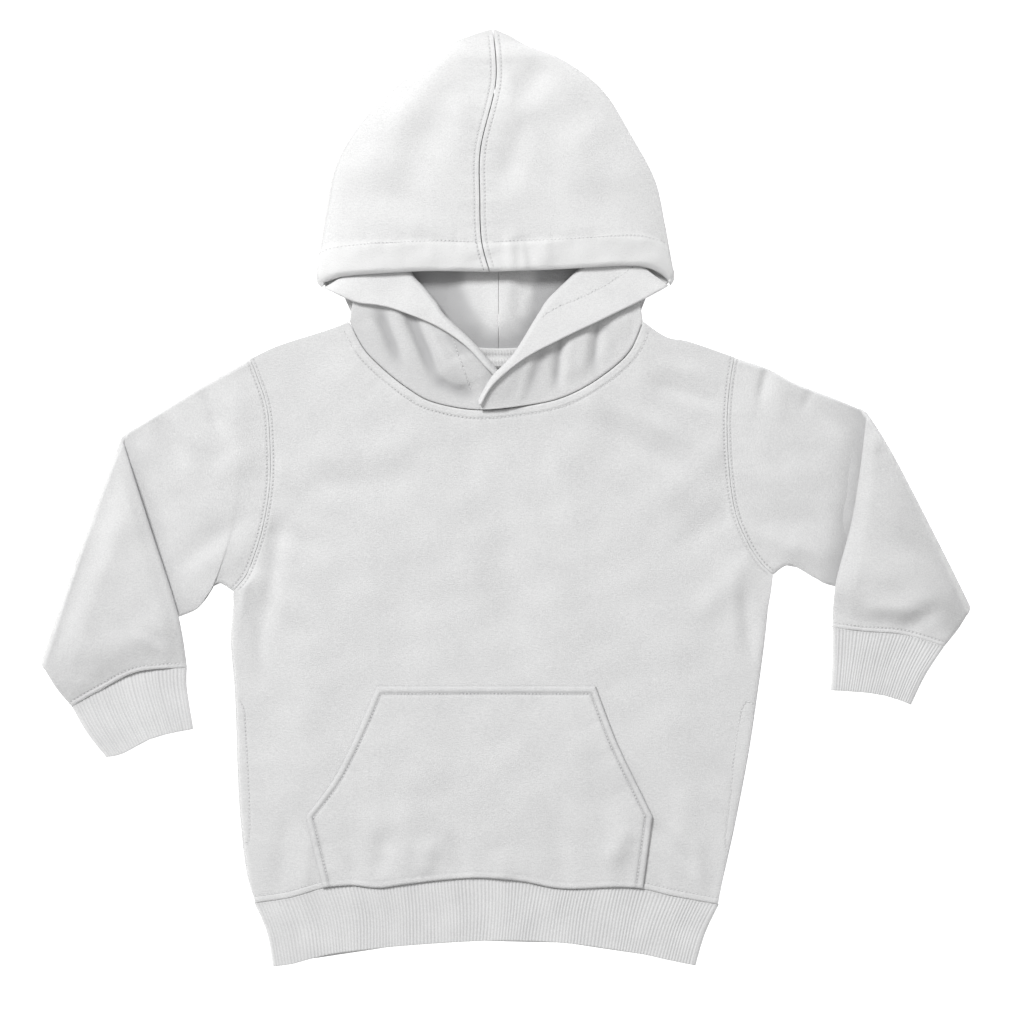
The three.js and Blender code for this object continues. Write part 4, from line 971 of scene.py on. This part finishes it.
def make_crown(side):
    """Half of the hood's outer: domed top, rounded side fold, and the flat back layer down to the neck."""
    lines = {name: Curve(points) for name, points in CROWNS[side].items()}
    top = Region(lines["start"], lines["brim"], lines["top_seam"], lines["outline"])
    back_outline = Curve(CROWNS[side]["outline"][:-3] + CROWNS[side]["outline"][-1:])
    back = Region(lines["back_start"], lines["back_end"], back_outline, lines["back_seam"])
    sign = 1 if side == "right" else -1
    seam_line = lines["top_seam"].beside(sign * TOP_SEAM_STITCH, 0.03, 0.985)
    brim_line = lines["brim"].beside(-sign * -BRIM_HEM, 0.025, 0.97)
    length = float(lines["top_seam"].length)
    rows_v = stations(length, 90, NO_EDGE, EDGE_STEPS)[0] / length
    columns = 66
    half_turn = np.radians([80, 65, 50, 35, 20, 0, -20, -40, -60, -80])

    def section(v, offset, shown):
        top_width, back_width = float(top.width(v)), float(back.width(v))
        inset = min(HOOD_EDGE_RADIUS / top_width, 0.4)
        across = stations(top_width * (1 - inset), columns, EDGE_STEPS, NO_EDGE)[0]
        u = across / top_width
        plan = top.at(u - (0.3 - SEAM) / top_width * soft_step((1 - u) / 0.9), v)
        rise = crown_column(1, v) * (1 - (u / (1 - inset)) ** crown_column(2, v))
        folds = 1.3 * fold_height(CROWN_FOLDS, plan) * soft_step((1 - u) / 0.3) * soft_step(v / 0.12)
        height = 2 * HOOD_EDGE_RADIUS + rise + folds - offset
        if shown:
            from_brim = (1 - v) * length
            puffed = soft_step((BRIM_HEM - from_brim) / 2.5) * soft_step(from_brim / 3.0)
            height = height + uneven(plan, 0.25, 1.3) * soft_step((1 - u) / 0.2) * soft_step(v / 0.1)
            height = height - np.maximum(roll(across, *SEAM_ROLL), roll(from_brim, 3.2, 1.85))
            height = height + puffed * (0.7 + uneven(plan, 0.3, 0.6))
            height = height + welt(across, TOP_SEAM_STITCH, 0.08) * soft_step(v / 0.05)
        dome = wall_points(plan, height)
        centre = top.at(1 - inset, v)
        outward = top.at(1, v) - centre
        outward /= np.linalg.norm(outward)
        radius = HOOD_EDGE_RADIUS - offset
        side_plan = centre + outward * (radius * np.cos(half_turn))[:, None]
        side_fold = wall_points(side_plan, HOOD_EDGE_RADIUS + radius * np.sin(half_turn))
        flat_plan = back.at(np.linspace(min(HOOD_EDGE_RADIUS / back_width, 0.4), 1, 60), v)
        return np.vstack([dome, side_fold, wall_points(flat_plan, offset)])

    outer = np.array([section(v, 0, True) for v in rows_v])
    inner = np.array([section(v, CLOTH, False) for v in rows_v])
    dome_columns = len(EDGE_STEPS) + columns + 1
    facts = facts_at(outer[..., :2], [seam_line, brim_line])
    facts["sewn"][:, dome_columns:, 0] = 50
    # Painted light: the crown's cloth is lightened, and the brim's doubled hem band more so
    facts["sewn"][:, :dome_columns, 2] = 0.25 + 0.5 * soft_step((BRIM_HEM + 0.5 - (1 - rows_v) * length) / 1.5)[:, None]
    relief = sewn_relief(facts, pucker=0.16)
    relief[:, dome_columns - 3:] = 0
    outer[..., 2] += relief
    made = cloth_object("hood_cloth_" + side, outer, inner, 6, facts=facts)
    return made, seam_line, brim_line


def puff(plan):
    """How far the hood's back puffs up between its seams."""
    left, right, bottom, top, height = BACK_PUFF
    across = np.sin(math.pi * np.clip((plan[..., 0] - left) / (right - left), 0, 1))
    down = np.sin(math.pi * np.clip((plan[..., 1] - bottom) / (top - bottom), 0, 1))
    return height * across * down


# The lit middle of the hood's back, outside which the lining is painted with shade: its middle in plan and how far it
# reaches sideways and down
LIT_HOLLOW = (-3, 140, 25, 42)


def neck_foot(x):
    """Where the hood's back meets the back neck seam."""
    return 84 + 24 * ((x + 4) / BACK_LINING_HALF_WIDTH) ** 2


def make_back_lining(side):
    """Lining that shows inside the hood, from under the brim down to the back neck."""
    sign = -1 if side == "left" else 1
    across = stations(BACK_LINING_HALF_WIDTH - SEAM, 50, EDGE_STEPS, NO_EDGE)[0]
    x = -4 + sign * (SEAM + across)
    v = np.linspace(0, 1, 60)[:, None]
    plan = np.stack(np.broadcast_arrays(x, mix(neck_foot(x), BACK_LINING_TOP, v)), -1)
    base = CLOTH + SEAM_GAP + puff(plan)
    folds = fold_height(BACK_LINING_FOLDS, plan) * puff(plan) / BACK_PUFF[4]
    facts = facts_at(plan, [])
    middle_x, middle_y, reach_x, reach_y = LIT_HOLLOW
    off_middle = np.hypot((plan[..., 0] - middle_x) / reach_x, (plan[..., 1] - middle_y) / reach_y)
    # Painted shade: the lining darkens towards its sides and bottom, outside the lit middle
    facts["sewn"][..., 2] = -soft_step((off_middle + uneven(plan, 0.035, 0.5) - 0.62) / 0.6)
    top = base + HOOD_CLOTH + folds - roll(across, 0.5, 0.25)
    return cloth_object(
        "hood_back_lining_" + side, wall_points(plan, top), wall_points(plan, base - 0.02), 6, facts=facts,
    )


# The overlocked allowance of the back neck seam: where it shows in plan, its width, and the pitch of its loops
OVERLOCK_SPAN = (-22, 14)
OVERLOCK_WIDTH = 11.7
OVERLOCK_BELOW = 3.4
LOOP_PITCH = 1.9


def make_overlock():
    """A soft band inside the back neck with two rows of looped thread."""
    x = np.linspace(*OVERLOCK_SPAN, 180)[:, None]
    across = np.linspace(0, OVERLOCK_WIDTH, 42)[None, :]
    plan = np.stack(np.broadcast_arrays(x, neck_foot(x) - OVERLOCK_BELOW + across), -1)
    under = CLOTH + SEAM_GAP + HOOD_CLOTH + 0.1 + puff(plan)
    rows = sum(np.exp(-(((across - middle) / 1.5) ** 2)) for middle in (3.6, 8.6))
    loops = np.abs(np.sin(math.pi * (x + 0.4 * across) / LOOP_PITCH)) * rows
    edge = np.minimum(across, OVERLOCK_WIDTH - across)
    top = under + 1.1 + 0.55 * loops + uneven(plan, 0.2, 0.5) - roll(edge, 1.2, 0.9)
    return cloth_object("back_neck_overlock", wall_points(plan, top), wall_points(plan, under), 6)


def flap_columns(rows, places):
    """The table's columns at places down it, from smooth curves through its rows."""
    scaled = np.clip(places, 0, 1) * (len(rows) - 1)
    index = np.minimum(scaled.astype(int), len(rows) - 2)
    t = (scaled - index)[:, None]
    at = [rows[np.clip(index + step, 0, len(rows) - 1)] for step in (-1, 0, 1, 2)]
    before, after = (at[2] - at[0]) / 2, (at[3] - at[1]) / 2
    cube = 2 * (at[1] - at[2]) + before + after
    square = 3 * (at[2] - at[1]) - 2 * before - after
    return ((cube * t + square) * t + before) * t + at[1]


NECK_STEPS = 34
LIP_STEPS = 22
LINING_FROM = 20
BRIM_TUCK = 4.0


neck_rim = neck_curve.beside(0.3)


def flap_sections(side, count):
    """The middle of a flap's two cloths: sections from the neck seam over the ridge to the face edge."""
    table = flap_columns(FLAPS[side], np.linspace(0, 1, count))
    neck, ridge, lip = table[:, 0:2], table[:, 2:4], table[:, 4:6]
    gap, place = neck_curve.near(neck)
    neck = mix(neck, neck_rim.at(place / neck_curve.length), (1 - soft_step((gap - 1.5) / 2.5))[:, None])
    neck_height, ridge_height = table[:, 6], table[:, 7]
    to_ridge = ridge - neck
    to_ridge /= np.linalg.norm(to_ridge, axis=1)[:, None]
    turn = ridge - to_ridge * (FLAP_FOLD_RADIUS + FLAP_HALF)
    low = ridge_height - 2 * FLAP_FOLD_RADIUS
    t = np.linspace(0, 1, NECK_STEPS + 1)[None, :, None]
    plan = mix(neck[:, None], turn[:, None], t)
    t = t[..., 0]
    folds = fold_height(FLAP_FOLDS, plan) * soft_step(t / 0.3) * soft_step((1 - t) / 0.4)
    stand = wall_points(plan, mix(neck_height[:, None], low[:, None], soft_step(t)) + folds)
    angles = np.radians(np.linspace(-72, 72, 9))[None, :]
    plan = turn[:, None] + to_ridge[:, None] * (FLAP_FOLD_RADIUS * np.cos(angles))[..., None]
    fold = wall_points(plan, low[:, None] + FLAP_FOLD_RADIUS * (1 + np.sin(angles)))
    t = np.linspace(0, 1, LIP_STEPS + 1)[None, :, None]
    plan = mix(turn[:, None], lip[:, None], 1 - (1 - t) ** 1.5)
    t = t[..., 0]
    wide = np.linalg.norm(lip - turn, axis=1)[:, None]
    folds = fold_height(LAPEL_FOLDS, plan) * soft_step(t / 0.25) * soft_step((wide - 8) / 12)
    tucked = soft_step((np.linspace(0, 1, count) - 0.82) / 0.18)[:, None]
    turned = wall_points(plan, ridge_height[:, None] + folds - BRIM_TUCK * tucked * t ** 2)
    return np.concatenate([stand, fold, turned], 1)


def offset_grid(sections, distance):
    """Points moved off a flap's middle along its normal."""
    along = np.empty_like(sections)
    along[:, 1:-1] = sections[:, 2:] - sections[:, :-2]
    along[:, 0], along[:, -1] = sections[:, 1] - sections[:, 0], sections[:, -1] - sections[:, -2]
    across = np.empty_like(sections)
    across[1:-1] = sections[2:] - sections[:-2]
    across[0], across[-1] = sections[1] - sections[0], sections[-1] - sections[-2]
    normal = np.cross(along, across)
    normal /= np.linalg.norm(normal, axis=-1)[..., None]
    return sections + normal * np.asarray(distance)[..., None]


def make_flap(side):
    """The hood's lower front: an outer cloth and a lining that turn over the ridge together."""
    sections = flap_sections(side, 110)
    turns_in = 1 if side == "left" else -1
    near, far = SEAM_GAP / 2, FLAP_HALF
    steps = np.linalg.norm(np.diff(sections, axis=1), axis=-1)
    along = np.concatenate([np.zeros((len(sections), 1)), np.cumsum(steps, 1)], 1)
    from_lip = along[:, -1:] - along
    round_edge = roll(from_lip, 1.1, HOOD_CLOTH * 0.8)
    round_neck = roll(along, 0.5, 0.2)
    facts = facts_at(sections[..., :2], FLAP_LINES[side])
    facts["sewn"][:, NECK_STEPS if side == "left" else 0:NECK_STEPS if side == "right" else None, 0] = 50
    # Painted shade: the outer darkens in the folds' troughs and all over by the flap's share of shade, and the ridge's
    # turn is dimmed
    dips = np.minimum(fold_height(FLAP_FOLDS, sections[:, :NECK_STEPS, :2]), 0)
    facts["sewn"][:, :NECK_STEPS, 2] = np.maximum(dips * 0.33 - FLAP_SHADE[side], -0.75)
    facts["sewn"][:, NECK_STEPS:NECK_STEPS + 10, 2] = -0.25
    relief = sewn_relief(facts, pucker=0.15)
    outer = cloth_object(
        "hood_front_cloth_" + side, offset_grid(sections, turns_in * (far - round_edge - round_neck + relief)),
        offset_grid(sections, np.full(along.shape, turns_in * near)), 2, facts=facts,
    )
    cut = sections[:, LINING_FROM:]
    inside = cloth_object(
        "hood_front_lining_cloth_" + side,
        offset_grid(cut, -turns_in * (far - round_edge + relief)[:, LINING_FROM:]),
        offset_grid(cut, np.full(cut.shape[:2], -turns_in * near)),
        2, facts={name: values[:, LINING_FROM:] for name, values in facts.items()},
    )
    return outer, inside


# How much darker each flap's outer is painted all over, as shade
FLAP_SHADE = {"left": 0.25, "right": 0.05}
FLAP_LINES = {
    "left": [Curve([(-34.1, 103.9), (-28, 86), (-21.1, 67.3)])],
    "right": [Curve([(78.7, 142.3), (65.1, 133), (47.7, 123.7), (35.3, 118.7), (27.3, 114.4), (22.3, 110.7)])],
}


# Stitching

def model_stitch():
    """One stitch of thread, 1 mm long before it is scaled: fat in the middle, its ends dipping into the cloth."""
    bpy.ops.mesh.primitive_uv_sphere_add(segments=6, ring_count=5, radius=0.5)
    stitch = bpy.context.object
    bpy.ops.object.mode_set(mode="EDIT")
    bpy.ops.mesh.select_all(action="SELECT")
    bpy.ops.transform.rotate(value=math.pi / 2, orient_axis="Y", center_override=(0, 0, 0))
    bpy.ops.object.mode_set(mode="OBJECT")
    points = np.array([vertex.co for vertex in stitch.data.vertices])
    faces = [list(face.vertices) for face in stitch.data.polygons]
    bpy.data.objects.remove(stitch)
    return points, faces


ABOVE_ALL = 60.0
STITCH_POINTS, STITCH_FACES = model_stitch()
random = np.random.default_rng(20)


def sew(name, cloth, line, pitch=STITCH_PITCH, width=0.66):
    """A row of stitches that lies on a cloth along a line in plan."""
    tree = BVHTree.FromPolygons(
        [vertex.co for vertex in cloth.data.vertices], [list(face.vertices) for face in cloth.data.polygons],
    )
    count = int(line.length / pitch)
    places = (np.arange(count) + 0.5) / count
    middles, ends = line.at(places), line.at(np.clip(places + 0.2 / count, 0, 1))
    points, faces = [], []
    for middle, end in zip(middles, ends):
        above = Vector((middle[0], middle[1], ABOVE_ALL)) * MM
        hit, normal, _, _ = tree.ray_cast(above, Vector((0, 0, -1)))
        if hit is None:
            continue
        along = Vector((end[0] - middle[0], end[1] - middle[1], 0))
        normal = Vector(normal)
        if normal.z < 0:
            normal.negate()
        along = (along - normal * along.dot(normal)).normalized()
        beside = normal.cross(along)
        turn = random.normal(0, 0.05)
        along = (along + beside * turn).normalized()
        beside = normal.cross(along)
        size = np.array([pitch * 0.86, width, width * 0.75]) * random.normal(1, 0.04)
        shape = STITCH_POINTS * size
        shape[:, 2] -= 0.42 * width * (2 * STITCH_POINTS[:, 0]) ** 2
        base = np.array(hit) / MM + np.array(normal) * width * 0.1
        start = len(points)
        points += (base + shape @ np.array([along, beside, normal])).tolist()
        faces += [[start + i for i in face] for face in STITCH_FACES]
    mesh = bpy.data.meshes.new(name)
    mesh.from_pydata((np.array(points) * MM).tolist(), [], faces)
    mesh.polygons.foreach_set("use_smooth", [True] * len(mesh.polygons))
    mesh.update()
    made = bpy.data.objects.new(name, mesh)
    bpy.context.scene.collection.objects.link(made)
    return dress(made, None, THREAD)


# Assembly

front = dress(make_front_panel(), "front_panel", FLEECE)
back = dress(make_back_panel(), "back_panel", FLEECE)
pocket_cloth = dress(make_pocket(), "kangaroo_pocket", FLEECE)
hem_band = dress(make_hem(), "hem_rib", RIB)

front_stitches = [sew("neck_stitches", front, neck_line), sew("hem_stitches", front, hem_line)]
for side in ("left", "right"):
    sleeve, armhole_line, cuff_line = make_sleeve(side)
    dress(sleeve, "sleeve_" + side, FLEECE)
    cuff = dress(make_cuff(side), "cuff_" + side, RIB)
    crown, seam_line, brim_line = make_crown(side)
    dress(crown, "hood_outer_" + side, FLEECE)
    back_lining = dress(make_back_lining(side), "hood_lining_back_" + side, LINING)
    outer, inside = make_flap(side)
    dress(outer, "hood_front_outer_" + side, FLEECE)
    dress(inside, "hood_front_lining_" + side, LINING)

    front_stitches.append(sew("armhole_stitches_" + side, front, body_armhole_lines[side]))
    front_stitches.append(sew("side_stitches_" + side, front, side_lines[side]))
    sleeve_stitches = [
        sew("sleeve_head_stitches_" + side, sleeve, armhole_line), sew("cuff_stitches_" + side, sleeve, cuff_line),
    ]
    crown_stitches = [
        sew("top_seam_stitches_" + side, crown, seam_line), sew("brim_stitches_" + side, crown, brim_line),
    ]
    flap_stitches = [sew("face_hem_stitches_" + side, outer if side == "left" else inside, FLAP_LINES[side][0])]

dress(make_overlock(), None, OVERLOCK)

pocket_stitches = [
    sew("pocket_stitches_" + place, pocket_cloth, line, pitch=2.1) for place, line in pocket_lines.items()
]

# Floor and light

def make_floor():
    bpy.ops.mesh.primitive_plane_add(size=30, location=(0, 0, -0.0004))
    floor = bpy.context.object
    floor.name = "floor"
    made = Finish("plain_floor")
    shader = made.node(
        "ShaderNodeBsdfPrincipled", None,
        {
            "Base Color": (0.93, 0.93, 0.93, 1), "Roughness": 0.9, "Emission Color": (1, 1, 1, 1),
            "Emission Strength": 0.8, "Specular IOR Level": 0.1,
        },
    ).value("BSDF")
    made.node("ShaderNodeOutputMaterial", None, {"Surface": shader})
    floor.data.materials.append(made.material)


def make_light(name, place, aim, size, watts):
    light = bpy.data.lights.new(name, "AREA")
    light.shape, light.size, light.energy = "DISK", size, watts
    holder = bpy.data.objects.new(name, light)
    holder.location = place
    holder.rotation_euler = (Vector(aim) - Vector(place)).to_track_quat("-Z", "Y").to_euler()
    holder.visible_camera = False
    bpy.context.scene.collection.objects.link(holder)


make_floor()
make_light("key", (-1.55, 2.1, 2.8), (0, 0, 0), 1.2, 125)
world = bpy.data.worlds.new("studio")
world.use_nodes = True
world.node_tree.nodes["Background"].inputs["Color"].default_value = (1, 1, 1, 1)
world.node_tree.nodes["Background"].inputs["Strength"].default_value = 0.5
bpy.context.scene.world = world
bpy.context.scene.view_settings.view_transform = "Standard"
